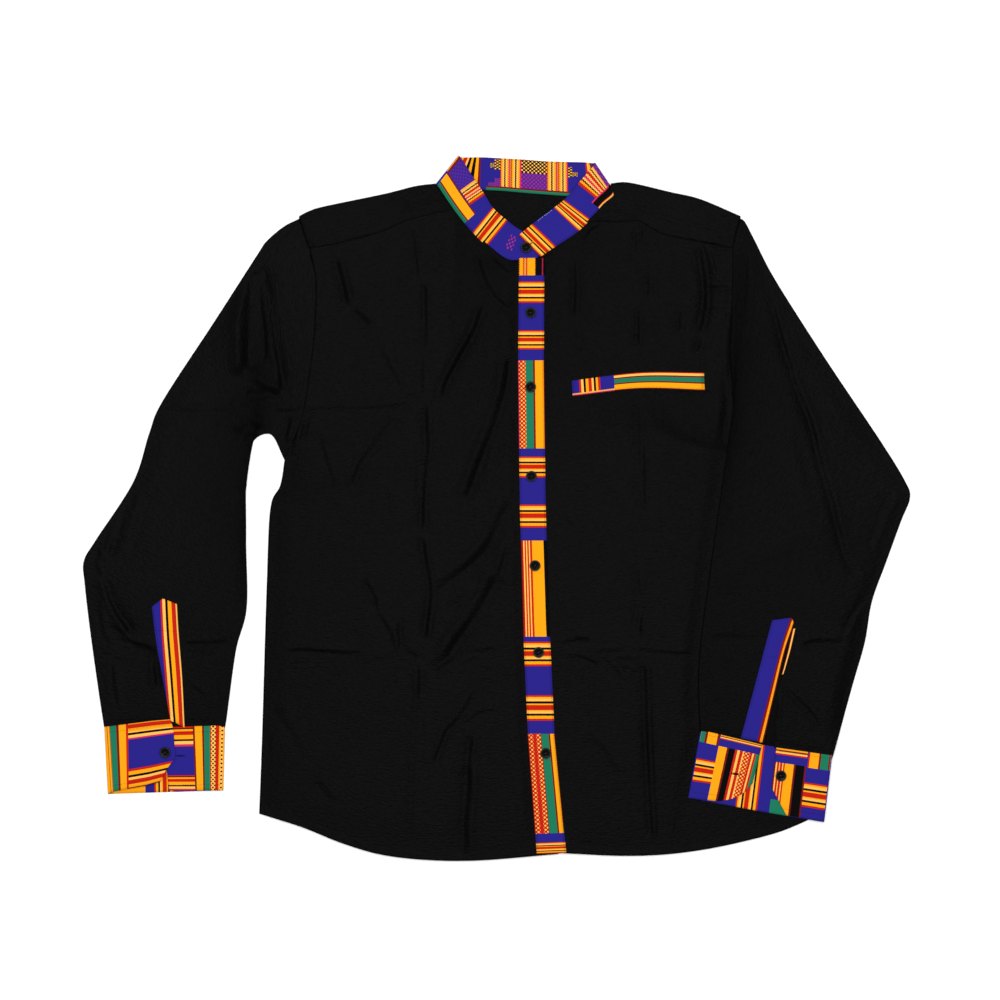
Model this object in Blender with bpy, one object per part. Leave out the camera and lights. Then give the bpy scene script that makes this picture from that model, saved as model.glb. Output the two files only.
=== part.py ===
"""Long-sleeve button-up shirt laid flat, front up, with woven striped trims.

World units are metres, +Z up, with the origin at the middle of the bounding box's foot. +X is
the wearer's left and +Y runs to the collar. Tables are in millimetres. Each sewn piece is a
sheet that follows the middle of its cloth, thickened evenly by a Solidify modifier. Left and
right are the wearer's, so the right sleeve lies at -X.
"""

import math
from collections import namedtuple

import bmesh
import bpy
import numpy as np
from mathutils import Matrix, Vector
from mathutils.bvhtree import BVHTree

for old in list(bpy.data.objects):
    bpy.data.objects.remove(old, do_unlink=True)

# Driving dimensions, in millimetres
MM = 0.001
CLOTH = 1.2           # wall of the cotton
BAND = 1.6            # wall of the collar and cuffs, which are doubled
PLACKET_WALL = 1.4
SEAM = 0.5            # gap in plan between sewn pieces, 0.3 or more where the seam slants
ARM_SEAM = 0.7        # the same at an armhole
AIR = 0.6             # least gap between two layers of one piece
LAP = 0.4             # gap between a strip and the cloth that it lies on
ON_FLOOR = CLOTH / 2  # middle of a cloth wall that lies on the surface
FRONT = 4.6           # middle of the fronts, over the back and its air
TUCKED = 3.0          # middle of the front where a sleeve lies on it
EDGE = 2.2            # middle of the front where it meets the back at a side seam
HEM = 2.8             # middle of the front at its hem
UNDER_PLACKET = 3.6   # middle of the right front's edge, under the placket
PLACKET = 5.5         # middle of the placket
ROLL = 1.3            # radius of a sleeve's folded edge, to the middle of its wall
CUFF_FOLD = 1.2       # the same for a cuff's folded ends
SLEEVE_END = 2.8      # rise of a sleeve's upper wall over its lower one, at the cuff
SLEEVE_AIR = 1.2      # further rise along the loose sleeve
SIDE_SLOPE = 34       # width over which a front rises from its side seam
HEM_SLOPE = 45        # the same from its hem
CUFF_SLOPE = 50       # the same from a sleeve's cuff
BUTTON_RADIUS = 6.1
BUTTON_HEIGHT = 2.4
BUTTON_GAP = 0.3      # between a button and the strip under it

# Rows and columns of the sheets
SIDE_ROWS = 18
ARM_ROWS = 8
LOWER_ARM_ROWS = 3
UPPER_ARM_ROWS = 5
BACK_YOKE_ROWS = 2    # of the armhole's rows, beside the yoke's back part
SHOULDER_ROWS = 2
SLEEVE_ROWS = 26
FRONT_COLUMNS = 18
WING_RIGHT = 9        # columns of each front strip of the yoke, and of the seam below it
WING_LEFT = 14

# Outlines in plan, each from the hem upwards or from the wearer's right to left: (x, y)
SIDE_RIGHT = [(-267, -342), (-264, -259), (-259, -88), (-255, -1), (-244, 25), (-239, 54)]
ARM_RIGHT = [(-239, 54), (-219, 102), (-207, 178), (-204, 222), (-204, 256), (-211, 292)]
YOKE_SEAM_RIGHT = [(-211, 292), (-176, 298), (-132, 310), (-95, 325), (-48, 336)]
NECK_RIGHT = [(-48, 336), (-34, 318), (-9.6, 294.6), (14, 278.2), (47, 277.6)]
HEM_RIGHT = [(-267, -342), (-219, -357), (-174, -375), (-129, -388), (-75, -394), (-17, -394),
             (68, -387)]
BUTTON_STAND = [(68, -387), (55, -254), (49, -144), (46, -1), (44, 163), (47, 278)]
PLACKET_RIGHT_EDGE = [(44, -388), (34, -254), (29, -144), (25, -1), (23, 163), (24, 277)]
PLACKET_LEFT_EDGE = [(77, -386), (64, -253), (58, -125), (54, 2), (52, 163), (52.5, 281)]
HEM_LEFT = [(77, -386), (137, -389), (184, -388), (229, -383), (274, -374), (319, -362),
            (359, -345)]
SIDE_LEFT = [(359, -345), (343, -170), (330, -1), (320, 52)]
ARM_LEFT_LOWER = [(320, 52), (294, 66), (274, 94), (264, 128)]
ARM_LEFT_UPPER = [(264, 128), (262, 178), (263, 234), (264, 292)]
NECK_LEFT = [(52.5, 281.5), (64, 294), (89, 310), (100, 322)]
YOKE_SEAM_LEFT = [(100, 322), (143, 322), (157, 323), (173, 314), (193, 306), (264, 292)]
SHOULDER_SIDE_RIGHT = [(-211, 292), (-217, 309), (-222, 325)]
SHOULDER_SIDE_LEFT = [(264, 292), (267, 308), (272, 325)]
SHOULDER_RIGHT = [(-222, 325), (-210, 331), (-193, 336), (-126, 350), (-92, 357), (-68, 359)]
SHOULDER_LEFT = [(129, 356), (142, 360), (160, 358), (193, 352), (227, 344), (272, 325)]
BACK_NECK = [(-68, 359), (-12, 358.4), (26, 356.4), (70, 352.4), (108, 351.4),
             (120, 352.6), (129, 356)]

# Sleeves in plan, from armhole to cuff
OUTER_RIGHT = [(-223, 325), (-241, 316), (-260, 300), (-271, 284), (-318, 211), (-376, 122),
               (-391, 86), (-409, 31), (-451, -34), (-464, -57), (-463, -82), (-455, -147),
               (-440, -245)]
INNER_RIGHT = [(-240, 53), (-257, 83), (-281, 62), (-283, -30), (-282, -109), (-294, -158),
               (-306, -244)]
OUTER_LEFT = [(273, 325), (279, 321), (290, 300), (313, 256), (369, 168), (430, 77), (457, 33),
              (463, 14), (453, -12), (436, -58), (420, -102), (412, -147), (399, -192),
              (375, -276)]
INNER_LEFT = [(265, 128), (266, 112), (259, 66), (239, -69), (226, -170), (227, -248)]
END_RIGHT = [(-440, -245), (-404, -240), (-368, -236), (-350, -243), (-306, -244)]
END_LEFT = [(375, -276), (312, -267), (275, -261), (227, -248)]

# Largest folds: from, to, sideways bow of the middle, depth (under 0 a ridge), half-width
Fold = namedtuple("Fold", "start end bow depth width")
FRONT_FOLDS = [
    Fold((14, -42), (-68, -174), 6, 1.9, 15),
    Fold((20, 17), (-68, -90), 8, 1.0, 16),
    Fold((17, 184), (-30, 12), -9, 1.9, 14),
    Fold((-12, 234), (-62, 119), -5, 1.8, 14),
    Fold((-25, 292), (21, 218), 11, 1.7, 14),
    Fold((-184, 286), (-102, 127), 12, 1.9, 16),
    Fold((-113, 111), (-162, 22), -7, 1.2, 15),
    Fold((-204, 89), (-182, 22), 3, 1.2, 14),
    Fold((-154, -67), (-115, -160), 3, 1.2, 15),
    Fold((-256, -204), (-179, -333), 8, 1.2, 17),
    Fold((-22, -201), (-70, -288), -5, 1.2, 15),
    Fold((-30, -258), (-38, -396), 2, 1.6, 14),
    Fold((-242, 107), (-102, 119), 2, 0.8, 14),
    Fold((-259, -165), (-104, -170), 3, 1.0, 16),
    Fold((-101, 344), (-86, 66), 5, 1.0, 14),
    Fold((-86, 66), (-97, -378), 6, 1.1, 14),
    Fold((108, -158), (225, -163), -4, 1.2, 16),
    Fold((158, 66), (162, -115), 2, 1.0, 15),
    Fold((162, -172), (175, -385), 3, 1.3, 15),
    Fold((85, 286), (85, 169), 3, 1.2, 14),
    Fold((225, 294), (223, 197), -8, 1.6, 14),
    Fold((208, 237), (201, 178), 2, 1.0, 14),
    Fold((141, 351), (98, 300), 5, 1.4, 13),
    Fold((69, -1), (112, -58), 3, 1.0, 15),
    Fold((87, -240), (135, -301), 4, 1.1, 15),
    Fold((156, 260), (156, 175), 2, 0.9, 14),
    Fold((-60, 40), (-20, 100), 0, -1.3, 26),
    Fold((-170, -60), (-190, -300), 9, -1.4, 34),
    Fold((120, 90), (130, -90), 7, -1.2, 34),
    Fold((120, -190), (110, -350), 6, -1.2, 30),
]
SLEEVE_RIGHT_FOLDS = [
    Fold((-268, 270), (-268, 80), 2, 2.0, 13),
    Fold((-290, 262), (-296, 70), 3, -1.2, 20),
    Fold((-410, 23), (-436, -58), 3, 1.5, 14),
    Fold((-456, -63), (-386, -161), 12, 1.7, 14),
    Fold((-370, 108), (-285, 108), 2, 0.9, 14),
    Fold((-452, -162), (-300, -153), 4, 0.9, 16),
    Fold((-382, 29), (-405, -50), 3, 1.0, 14),
    Fold((-340, 40), (-330, -120), 6, -1.3, 26),
]
SLEEVE_LEFT_FOLDS = [
    Fold((283, 302), (393, -63), 9, 2.0, 15),
    Fold((448, 18), (413, -60), 3, 1.4, 14),
    Fold((318, -199), (366, -262), -4, 1.2, 14),
    Fold((228, -151), (389, -148), 4, 0.9, 15),
    Fold((360, 60), (420, -40), 5, -1.3, 24),
    Fold((275, 60), (290, -100), 6, -1.2, 26),
]


# Curves and patches
def spline(points, steps=24):
    """Smooth curve through points, as a function of 0 to 1 by its length."""
    p = np.array(points, float)
    p = np.vstack([2 * p[0] - p[1], p, 2 * p[-1] - p[-2]])
    t = np.linspace(0, 1, steps, endpoint=False)[:, None]
    runs = []
    for a, b, c, d in zip(p, p[1:], p[2:], p[3:]):
        bend = (2 * a - 5 * b + 4 * c - d) * t ** 2 + (3 * b - a - 3 * c + d) * t ** 3
        runs.append(b + ((c - a) * t + bend) / 2)
    line = np.vstack(runs + [p[-2:-1]])
    along = np.append(0, np.cumsum(np.linalg.norm(np.diff(line, axis=0), axis=1)))

    def at(s):
        s = np.asarray(s, float) * along[-1]
        return np.stack([np.interp(s, along, axis) for axis in line.T], -1)

    return at


def joined(*parts):
    """One curve from (curve, rows) parts, so that each corner falls on a row."""
    ends = np.append(0, np.cumsum([rows for curve, rows in parts])) / sum(r for c, r in parts)

    def at(s):
        s = np.asarray(s, float)
        out = np.zeros(s.shape + (2,))
        for (curve, rows), low, high in zip(parts, ends, ends[1:]):
            inside = (s >= low - 1e-9) & (s <= high + 1e-9)
            out[inside] = curve(np.clip((s[inside] - low) / (high - low), 0, 1))
        return out

    return at


def moved(curve, dx, dy):
    return lambda s: curve(s) + (dx, dy)


def part_of(curve, low, high):
    return lambda s: curve(low + (high - low) * np.asarray(s, float))


def back_to_front(curve):
    return lambda s: curve(1 - np.asarray(s, float))


def patch(bottom, top, left, right, columns, rows):
    """Plan points between four curves (a Coons patch): rows from bottom to top.

    The bottom and top are kept, and the ends of the sides are drawn onto theirs."""
    u, v = np.meshgrid(np.linspace(0, 1, columns + 1), np.linspace(0, 1, rows + 1))
    a, b = u[..., None], v[..., None]
    sides = []
    for curve, end in ((left, 0.0), (right, 1.0)):
        shift = (1 - b) * (bottom(end) - curve(0.0)) + b * (top(end) - curve(1.0))
        sides.append(curve(v) + shift)
    across = (1 - a) * sides[0] + a * sides[1]
    along = (1 - b) * bottom(u) + b * top(u)
    corners = (1 - a) * ((1 - b) * bottom(0.0) + b * top(0.0)) + a * (
        (1 - b) * bottom(1.0) + b * top(1.0)
    )
    return across + along - corners


# Heights
def smooth(t):
    t = np.clip(t, 0, 1)
    return t * t * (3 - 2 * t)


def x_at(points, y):
    """The x of an outline at each y."""
    p = np.array(sorted(points, key=lambda point: point[1]), float)
    return np.interp(y, p[:, 1], p[:, 0])


def y_at(points, x):
    """The y of an outline at each x."""
    p = np.array(sorted(points), float)
    return np.interp(x, p[:, 0], p[:, 1])


def folded(folds, x, y):
    """Height of a set of folds: each a trough with low banks that dies out at its ends."""
    height = np.zeros(np.shape(x))
    for fold in folds:
        a, b = np.array(fold.start, float), np.array(fold.end, float)
        length = np.linalg.norm(b - a)
        dx, dy = (b - a) / length
        t = ((x - a[0]) * dx + (y - a[1]) * dy) / length
        side = (y - a[1]) * dx - (x - a[0]) * dy - fold.bow * 4 * t * (1 - t)
        q = (side / fold.width) ** 2
        ends = smooth((t + 0.08) / 0.2) * smooth((1.08 - t) / 0.2)
        height -= fold.depth * (1 - 0.9 * q) * np.exp(-1.4 * q) * ends
    return height


def under_sleeve(x, y):
    """1 where the left sleeve or its cuff lies on the front, 0 well clear of it."""
    inner = INNER_LEFT + [(214, -324), (212, -400)]
    below = smooth((165 - y) / 30)
    return smooth((x - x_at(inner, y) + 24) / 18) * below


def front_height(x, y):
    """Middle of the fronts, the yoke's front strips and the armholes."""
    z = FRONT + folded(FRONT_FOLDS, x, y)
    z = np.maximum(z, EDGE)
    hem = y_at(HEM_RIGHT[:-1] + HEM_LEFT, x)
    z = HEM + (z - HEM) * (0.35 + 0.65 * smooth((y - hem) / HEM_SLOPE))
    for edge, top, outward in ((SIDE_RIGHT, 54, -1), (SIDE_LEFT, 52, 1)):
        inside = np.hypot(outward * (x_at(edge, y) - x), np.maximum(0, y - top))
        z = EDGE + (z - EDGE) * smooth((inside + 2) / SIDE_SLOPE)
    cover = under_sleeve(x, y)
    z = z * (1 - cover) + np.minimum(z, TUCKED) * cover
    return z


def front_right_height(x, y):
    """The under front sinks where the placket lies on it."""
    into = smooth((x - x_at(PLACKET_RIGHT_EDGE, y) + 16) / 14)
    return front_height(x, y) * (1 - into) + UNDER_PLACKET * into


def front_left_height(x, y):
    """The over front rises to the placket that it is sewn to."""
    away = smooth((x - x_at(PLACKET_LEFT_EDGE, y)) / 40)
    sewn = PLACKET - 0.2
    return sewn * (1 - away) + front_height(x, y) * away


def over_body(x, y):
    """1 where the left sleeve's lower wall lies on the body, 0 on the surface."""
    edge = x_at(SIDE_LEFT + [(320, 84), (290, 112), (264, 140)], y)
    return smooth((edge + 44 - x) / 26) * smooth((200 - y) / 46)


# Building
MATERIALS = {
    "black_cotton": ("14120F", 0.85),
    "woven_trim": ("2E2A92", 0.75),
    "black_button": ("0C0C0D", 0.3),
}


def material(name):
    found = bpy.data.materials.get(name)
    if found:
        return found
    made = bpy.data.materials.new(name)
    made.use_nodes = True
    shader = made.node_tree.nodes["Principled BSDF"]
    hexed, roughness = MATERIALS[name]
    channels = [int(hexed[i:i + 2], 16) / 255 for i in (0, 2, 4)]
    shader.inputs["Base Color"].default_value = (*[c ** 2.2 for c in channels], 1)
    shader.inputs["Roughness"].default_value = roughness
    return made


def put(name, bm, slot):
    mesh = bpy.data.meshes.new(name)
    bm.to_mesh(mesh)
    bm.free()
    mesh.materials.append(material(slot))
    mesh.shade_smooth()
    mesh.set_sharp_from_angle(angle=math.radians(50))
    piece = bpy.data.objects.new(name, mesh)
    bpy.context.collection.objects.link(piece)
    return piece


def thicken(piece, wall):
    solidify = piece.modifiers.new("wall", "SOLIDIFY")
    solidify.thickness = wall * MM
    solidify.offset = 0


def sheet(name, points, slot, wall, left_out=None):
    """A grid of points (rows, columns, 3) in millimetres, thickened to its wall."""
    rows, columns = points.shape[0] - 1, points.shape[1] - 1
    bm = bmesh.new()
    bmesh.ops.create_grid(bm, x_segments=columns, y_segments=rows, size=1)
    for vertex, point in zip(bm.verts, points.reshape(-1, 3)):
        vertex.co = Vector(point) * MM
    if left_out is not None:
        gone = [face for face, out in zip(bm.faces, left_out.ravel()) if out]
        bmesh.ops.delete(bm, geom=gone, context="FACES")
    bmesh.ops.remove_doubles(bm, verts=bm.verts, dist=1e-6)
    bmesh.ops.recalc_face_normals(bm, faces=bm.faces)
    piece = put(name, bm, slot)
    thicken(piece, wall)
    return piece


def raised(plan, height):
    """Plan points with their heights."""
    return np.dstack([plan, height(plan[..., 0], plan[..., 1])])


def solid_of(piece):
    """The piece's thickened mesh, for what is laid on it."""
    bpy.context.view_layer.update()
    graph = bpy.context.evaluated_depsgraph_get()
    mesh = piece.evaluated_get(graph).to_mesh()
    tree = BVHTree.FromPolygons([v.co.copy() for v in mesh.vertices],
                                [tuple(p.vertices) for p in mesh.polygons])
    piece.evaluated_get(graph).to_mesh_clear()
    return tree


def top_of(trees, x, y, reach):
    """Highest cloth around a point, in millimetres."""
    high = 0.0
    for dx in (-reach, 0, reach):
        for dy in (-reach, 0, reach):
            start = Vector(((x + dx) * MM, (y + dy) * MM, 0.1))
            for tree in trees:
                hit = tree.ray_cast(start, Vector((0, 0, -1)))[0]
                if hit is not None:
                    high = max(high, hit.z / MM)
    return high


def laid(name, plan, below, slot, wall, reach=5):
    """A strip laid on what is below it."""
    trees = [solid_of(piece) for piece in below]
    z = [[top_of(trees, x, y, reach) + LAP + wall / 2 for x, y in row] for row in plan]
    return sheet(name, np.dstack([plan, z]), slot, wall)


# Body
def build_back():
    """Flat panel on the surface, a little smaller than the fronts that hide its edge."""
    inset = 1.2
    kept = ARM_ROWS - BACK_YOKE_ROWS
    kept_upper = UPPER_ARM_ROWS - BACK_YOKE_ROWS
    right = joined((moved(spline(SIDE_RIGHT), inset, 0), SIDE_ROWS),
                   (part_of(spline(ARM_RIGHT), 0, kept / ARM_ROWS), kept))
    left = joined((moved(spline(SIDE_LEFT), -inset, 0), SIDE_ROWS),
                  (spline(ARM_LEFT_LOWER), LOWER_ARM_ROWS),
                  (part_of(spline(ARM_LEFT_UPPER), 0, kept_upper / UPPER_ARM_ROWS), kept_upper))
    hem = joined((moved(spline(HEM_RIGHT), 0, inset), 12),
                 (moved(spline(HEM_LEFT), 0, inset), 12))(np.linspace(0, 1, 25))
    hem[0], hem[-1] = right(0.0), left(0.0)
    up = left(np.linspace(0, 1, SIDE_ROWS + LOWER_ARM_ROWS + kept_upper + 1))
    down = right(np.linspace(0, 1, SIDE_ROWS + kept + 1))[::-1]
    up[-1, 1] -= SEAM
    down[0, 1] -= SEAM
    outline = np.vstack([hem, up[1:], down[:-1]])
    bm = bmesh.new()
    bm.faces.new([bm.verts.new((x * MM, y * MM, ON_FLOOR * MM)) for x, y in outline])
    bmesh.ops.triangulate(bm, faces=bm.faces)
    thicken(put("back", bm, "black_cotton"), CLOTH)


def build_front_right():
    top = joined((moved(spline(YOKE_SEAM_RIGHT), 0, -SEAM), WING_RIGHT),
                 (moved(spline(NECK_RIGHT), 0, -SEAM), FRONT_COLUMNS - WING_RIGHT))
    left = joined((spline(SIDE_RIGHT), SIDE_ROWS), (spline(ARM_RIGHT), ARM_ROWS))
    plan = patch(spline(HEM_RIGHT), top, left, spline(BUTTON_STAND), FRONT_COLUMNS,
                 SIDE_ROWS + ARM_ROWS)
    return sheet("front_right", raised(plan, front_right_height), "black_cotton", CLOTH)


def build_front_left():
    top = joined((moved(spline(NECK_LEFT), SEAM, -SEAM), FRONT_COLUMNS - WING_LEFT),
                 (moved(spline(YOKE_SEAM_LEFT), 0, -SEAM), WING_LEFT))
    right = joined((spline(SIDE_LEFT), SIDE_ROWS), (spline(ARM_LEFT_LOWER), LOWER_ARM_ROWS),
                   (spline(ARM_LEFT_UPPER), UPPER_ARM_ROWS))
    left = moved(spline(PLACKET_LEFT_EDGE), SEAM, 0)
    plan = patch(moved(spline(HEM_LEFT), SEAM, 0), top, left, right, FRONT_COLUMNS,
                 SIDE_ROWS + ARM_ROWS)
    return sheet("front_left", raised(plan, front_left_height), "black_cotton", CLOTH)


def build_placket():
    """Same rows as the left front's edge, so that the two edges follow each other."""
    rows = SIDE_ROWS + ARM_ROWS
    right, left = spline(PLACKET_RIGHT_EDGE), spline(PLACKET_LEFT_EDGE)
    bottom = spline([PLACKET_RIGHT_EDGE[0], PLACKET_LEFT_EDGE[0]])
    top = spline([PLACKET_RIGHT_EDGE[-1], PLACKET_LEFT_EDGE[-1]])
    plan = patch(bottom, top, right, left, 2, rows)
    return sheet("front_placket", raised(plan, lambda x, y: PLACKET + 0 * x), "woven_trim",
                 PLACKET_WALL)


def build_yoke():
    """One piece: back part on the surface, folded over at the shoulders to the front strips."""
    neck = 5
    columns = WING_RIGHT + neck + WING_LEFT
    edge = joined((spline(SHOULDER_RIGHT), WING_RIGHT), (spline(BACK_NECK), neck),
                  (spline(SHOULDER_LEFT), WING_LEFT))
    arm_right = part_of(spline(ARM_RIGHT), 1 - BACK_YOKE_ROWS / ARM_ROWS, 1)
    arm_left = part_of(spline(ARM_LEFT_UPPER), 1 - BACK_YOKE_ROWS / UPPER_ARM_ROWS, 1)
    side_right = joined((arm_right, BACK_YOKE_ROWS), (spline(SHOULDER_SIDE_RIGHT), SHOULDER_ROWS))
    side_left = joined((arm_left, BACK_YOKE_ROWS), (spline(SHOULDER_SIDE_LEFT), SHOULDER_ROWS))
    rows = BACK_YOKE_ROWS + SHOULDER_ROWS
    plate = patch(spline([arm_right(0.0), arm_left(0.0)]), edge, side_right, side_left,
                  columns, rows)
    points = [row for row in raised(plate, lambda x, y: ON_FLOOR + 0 * x)]
    radius = (FRONT - ON_FLOOR) / 2
    for angle in np.radians([45, 90, 135]):
        out = plate[-1] + (0, radius * math.sin(angle))
        z = ON_FLOOR + radius * (1 - math.cos(angle))
        points.append(np.column_stack([out, np.full(columns + 1, z)]))
    neck_right = spline([YOKE_SEAM_RIGHT[-1], (-53, 342), SHOULDER_RIGHT[-1]])
    neck_left = spline([YOKE_SEAM_LEFT[0], (112.5, 335.5), SHOULDER_LEFT[0]])
    right = patch(spline(YOKE_SEAM_RIGHT), spline(SHOULDER_RIGHT),
                  spline(SHOULDER_SIDE_RIGHT), neck_right, WING_RIGHT, SHOULDER_ROWS)[::-1]
    left = patch(spline(YOKE_SEAM_LEFT), spline(SHOULDER_LEFT), neck_left,
                 spline(SHOULDER_SIDE_LEFT), WING_LEFT, SHOULDER_ROWS)[::-1]
    for number, (row_right, row_left) in enumerate(zip(right, left)):
        between = np.linspace(row_right[-1], row_left[0], neck + 1)[1:-1]
        plan = np.vstack([row_right, between, row_left])
        z = front_height(plan[:, 0], plan[:, 1]) if number else np.full(columns + 1, FRONT)
        points.append(np.column_stack([plan, z]))
    left_out = np.zeros((len(points) - 1, columns), bool)
    left_out[rows:, WING_RIGHT:WING_RIGHT + neck] = True
    sheet("yoke", np.array(points), "black_cotton", CLOTH, left_out)


# Sleeves
def tube(name, plan, low, high):
    """A flattened sleeve: its upper wall, a rolled edge, its lower wall and the other edge."""
    across = plan[:, -1] - plan[:, 0]
    inward = (across / np.linalg.norm(across, axis=1)[:, None])[:, None]
    inset = plan.copy()
    inset[:, :1] += inward * ROLL
    inset[:, -1:] -= inward * ROLL
    upper, lower = raised(inset, high), raised(inset, low)
    gap = 2 * ROLL
    near_edge = np.minimum(np.linalg.norm(plan - plan[:, :1], axis=2),
                           np.linalg.norm(plan - plan[:, -1:], axis=2))
    rise = smooth(near_edge / 26)
    upper[..., 2] = lower[..., 2] + gap + (upper[..., 2] - lower[..., 2] - gap) * rise
    upper[..., 2] = np.maximum(upper[..., 2], lower[..., 2] + CLOTH + AIR)
    outer, inner = upper[:, :1].copy(), upper[:, -1:].copy()
    outer[..., :2], inner[..., :2] = plan[:, :1], plan[:, -1:]
    outer[..., 2] = (upper[:, :1, 2] + lower[:, :1, 2]) / 2
    inner[..., 2] = (upper[:, -1:, 2] + lower[:, -1:, 2]) / 2
    ring = np.concatenate([outer, upper, inner, lower[:, ::-1], outer], axis=1)
    return sheet(name, ring, "black_cotton", CLOTH)


def build_sleeve_right():
    start = moved(joined((back_to_front(spline(SHOULDER_SIDE_RIGHT)), SHOULDER_ROWS),
                         (back_to_front(spline(ARM_RIGHT)), ARM_ROWS)), -ARM_SEAM, 0)
    plan = patch(start, spline(END_RIGHT), spline(OUTER_RIGHT), spline(INNER_RIGHT),
                 SHOULDER_ROWS + ARM_ROWS, SLEEVE_ROWS)

    def high(x, y):
        loose = SLEEVE_AIR + folded(SLEEVE_RIGHT_FOLDS, x, y)
        return ON_FLOOR + SLEEVE_END + loose * smooth((y + 244) / CUFF_SLOPE)

    return tube("sleeve_right", plan, lambda x, y: ON_FLOOR + 0 * x, high)


def build_sleeve_left():
    start = moved(joined((back_to_front(spline(SHOULDER_SIDE_LEFT)), SHOULDER_ROWS),
                         (back_to_front(spline(ARM_LEFT_UPPER)), UPPER_ARM_ROWS)),
                  ARM_SEAM, 0)
    plan = patch(start, spline(END_LEFT), spline(OUTER_LEFT), spline(INNER_LEFT),
                 SHOULDER_ROWS + UPPER_ARM_ROWS, SLEEVE_ROWS)

    def low(x, y):
        return ON_FLOOR + (TUCKED + CLOTH + LAP - ON_FLOOR) * over_body(x, y)

    def high(x, y):
        loose = SLEEVE_AIR + folded(SLEEVE_LEFT_FOLDS, x, y)
        return low(x, y) + SLEEVE_END + loose * smooth((y + 262) / CUFF_SLOPE)

    return tube("sleeve_left", plan, low, high)


# Bands: rows of a table are lines across the band, from its seam edge to its free edge
Line = namedtuple("Line", "seam free seam_z free_z steps")


def band(name, lines, rows, ends=(None, None)):
    """A strip lofted through lines; ends are (across, pull) tables that shape its two ends."""
    table = np.array([[*a.seam, a.seam_z, *a.free, a.free_z] for a in lines], float)
    padded = np.vstack([2 * table[0] - table[1], table, 2 * table[-1] - table[-2]])
    columns = []
    for a, b, c, d, line in zip(padded, padded[1:], padded[2:], padded[3:], lines):
        for t in np.linspace(0, 1, line.steps, endpoint=False):
            bend = (2 * a - 5 * b + 4 * c - d) * t ** 2 + (3 * b - a - 3 * c + d) * t ** 3
            point = b + ((c - a) * t + bend) / 2
            point[[2, 5]] = (b + (c - b) * t)[[2, 5]]
            columns.append(point)
    columns.append(table[-1])
    columns = np.array(columns)
    across = np.linspace(0, 1, rows + 1)[:, None, None]
    points = (1 - across) * columns[:, :3] + across * columns[:, 3:]
    for end, last, before in zip(ends, (0, -1), (1, -2)):
        if end:
            pull = np.interp(across[:, 0, 0], *np.array(end, float).T)
            step = points[:, before] - points[:, last]
            span = np.linalg.norm(step, axis=1)
            points[:, last] += step * (pull / span)[:, None]
    return sheet(name, points, "woven_trim", BAND)


def build_collar():
    """From its right end, under, round the neck and back over to its left end, on top."""
    low, mid, high, flat = 3.7, 4.9, 6.3, BAND / 2
    band("collar", [
        Line((44, 279), (58, 303), low, low, 2),
        Line((15, 279.2), (27, 311), low, low, 2),
        Line((-9, 295.3), (8, 327), mid, mid, 2),
        Line((-33.5, 318.4), (-15, 352), mid, mid, 2),
        Line((-52, 342.5), (-32, 377), mid, mid, 1),
        Line((-64, 362), (-43, 394), mid - 0.2, mid - 0.2, 1),
        Line((-66, 364), (-45, 395), 2.8, 2.8, 1),
        Line((-62, 360.5), (-41, 393.5), flat, flat, 1),
        Line((-12, 359), (-20, 393), flat, flat, 2),
        Line((26, 357), (8, 393), flat, flat, 2),
        Line((70, 353), (58, 389), flat, flat, 2),
        Line((104, 353.2), (88, 388), flat, flat, 1),
        Line((122, 356.4), (104, 388), flat, flat, 1),
        Line((127, 358), (108.5, 389), 2.8, 2.8, 1),
        Line((123, 353), (105, 387), mid - 0.2, mid - 0.2, 1),
        Line((111, 336.5), (93, 368), mid, mid, 2),
        Line((89, 310.6), (74, 344), mid + 0.4, mid + 0.4, 2),
        Line((64, 294.6), (50, 328), high, high, 2),
        Line((48, 283), (24, 306), high, high, 1),
    ], 2)


def build_cuff_right():
    """From the end under the flap, round below, to the flap on top."""
    low = BAND / 2
    under, flap, fold = low + BAND + AIR, low + 2 * (BAND + AIR), CUFF_FOLD
    middle = low + (BAND + AIR) / 2
    band("cuff_right", [
        Line((-376, -247), (-368, -316), under, under, 3),
        Line((-307, -245), (-309, -316), under, under, 1),
        Line((-307 + fold, -245), (-309 + fold, -316), middle, middle, 1),
        Line((-307, -245), (-309, -316), low, low, 4),
        Line((-439, -246.5), (-435, -320), low, low, 1),
        Line((-439 - fold, -246.5), (-435 - fold, -320), middle, middle, 1),
        Line((-439, -246.5), (-434, -318), under, under, 3),
        Line((-384, -239.5), (-388, -309), flap, flap, 1),
        Line((-361, -237.5), (-361, -302), flap, flap, 1),
    ], 4, ends=(None, [(0, 6), (0.4, 1), (0.65, 1), (0.85, 10), (1, 17)]))


def build_cuff_left():
    """Lies on the body, open: its two ends show the wall below between them."""
    low = TUCKED + CLOTH / 2 + LAP + BAND / 2
    top, middle, fold = low + BAND + AIR, low + (BAND + AIR) / 2, CUFF_FOLD
    band("cuff_left", [
        Line((297, -266.5), (279, -331), top, top, 3),
        Line((229, -250), (215, -324), top, top, 1),
        Line((229 - fold, -250), (215 - fold, -324), middle, middle, 1),
        Line((229, -250), (215, -324), low, low, 3),
        Line((297, -266.5), (288, -338), low, low, 3),
        Line((373, -278), (364, -351), low, low, 1),
        Line((373 + fold, -278), (364 + fold, -351), middle, middle, 1),
        Line((373, -278), (364, -350), top, top, 2),
        Line((309, -269.5), (309, -338), top, top, 1),
    ], 4, ends=([(0, 1), (0.6, 0), (0.85, 8), (1, 22)], [(0, 0), (0.5, 0), (0.75, 2), (1, 14)]))


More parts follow.
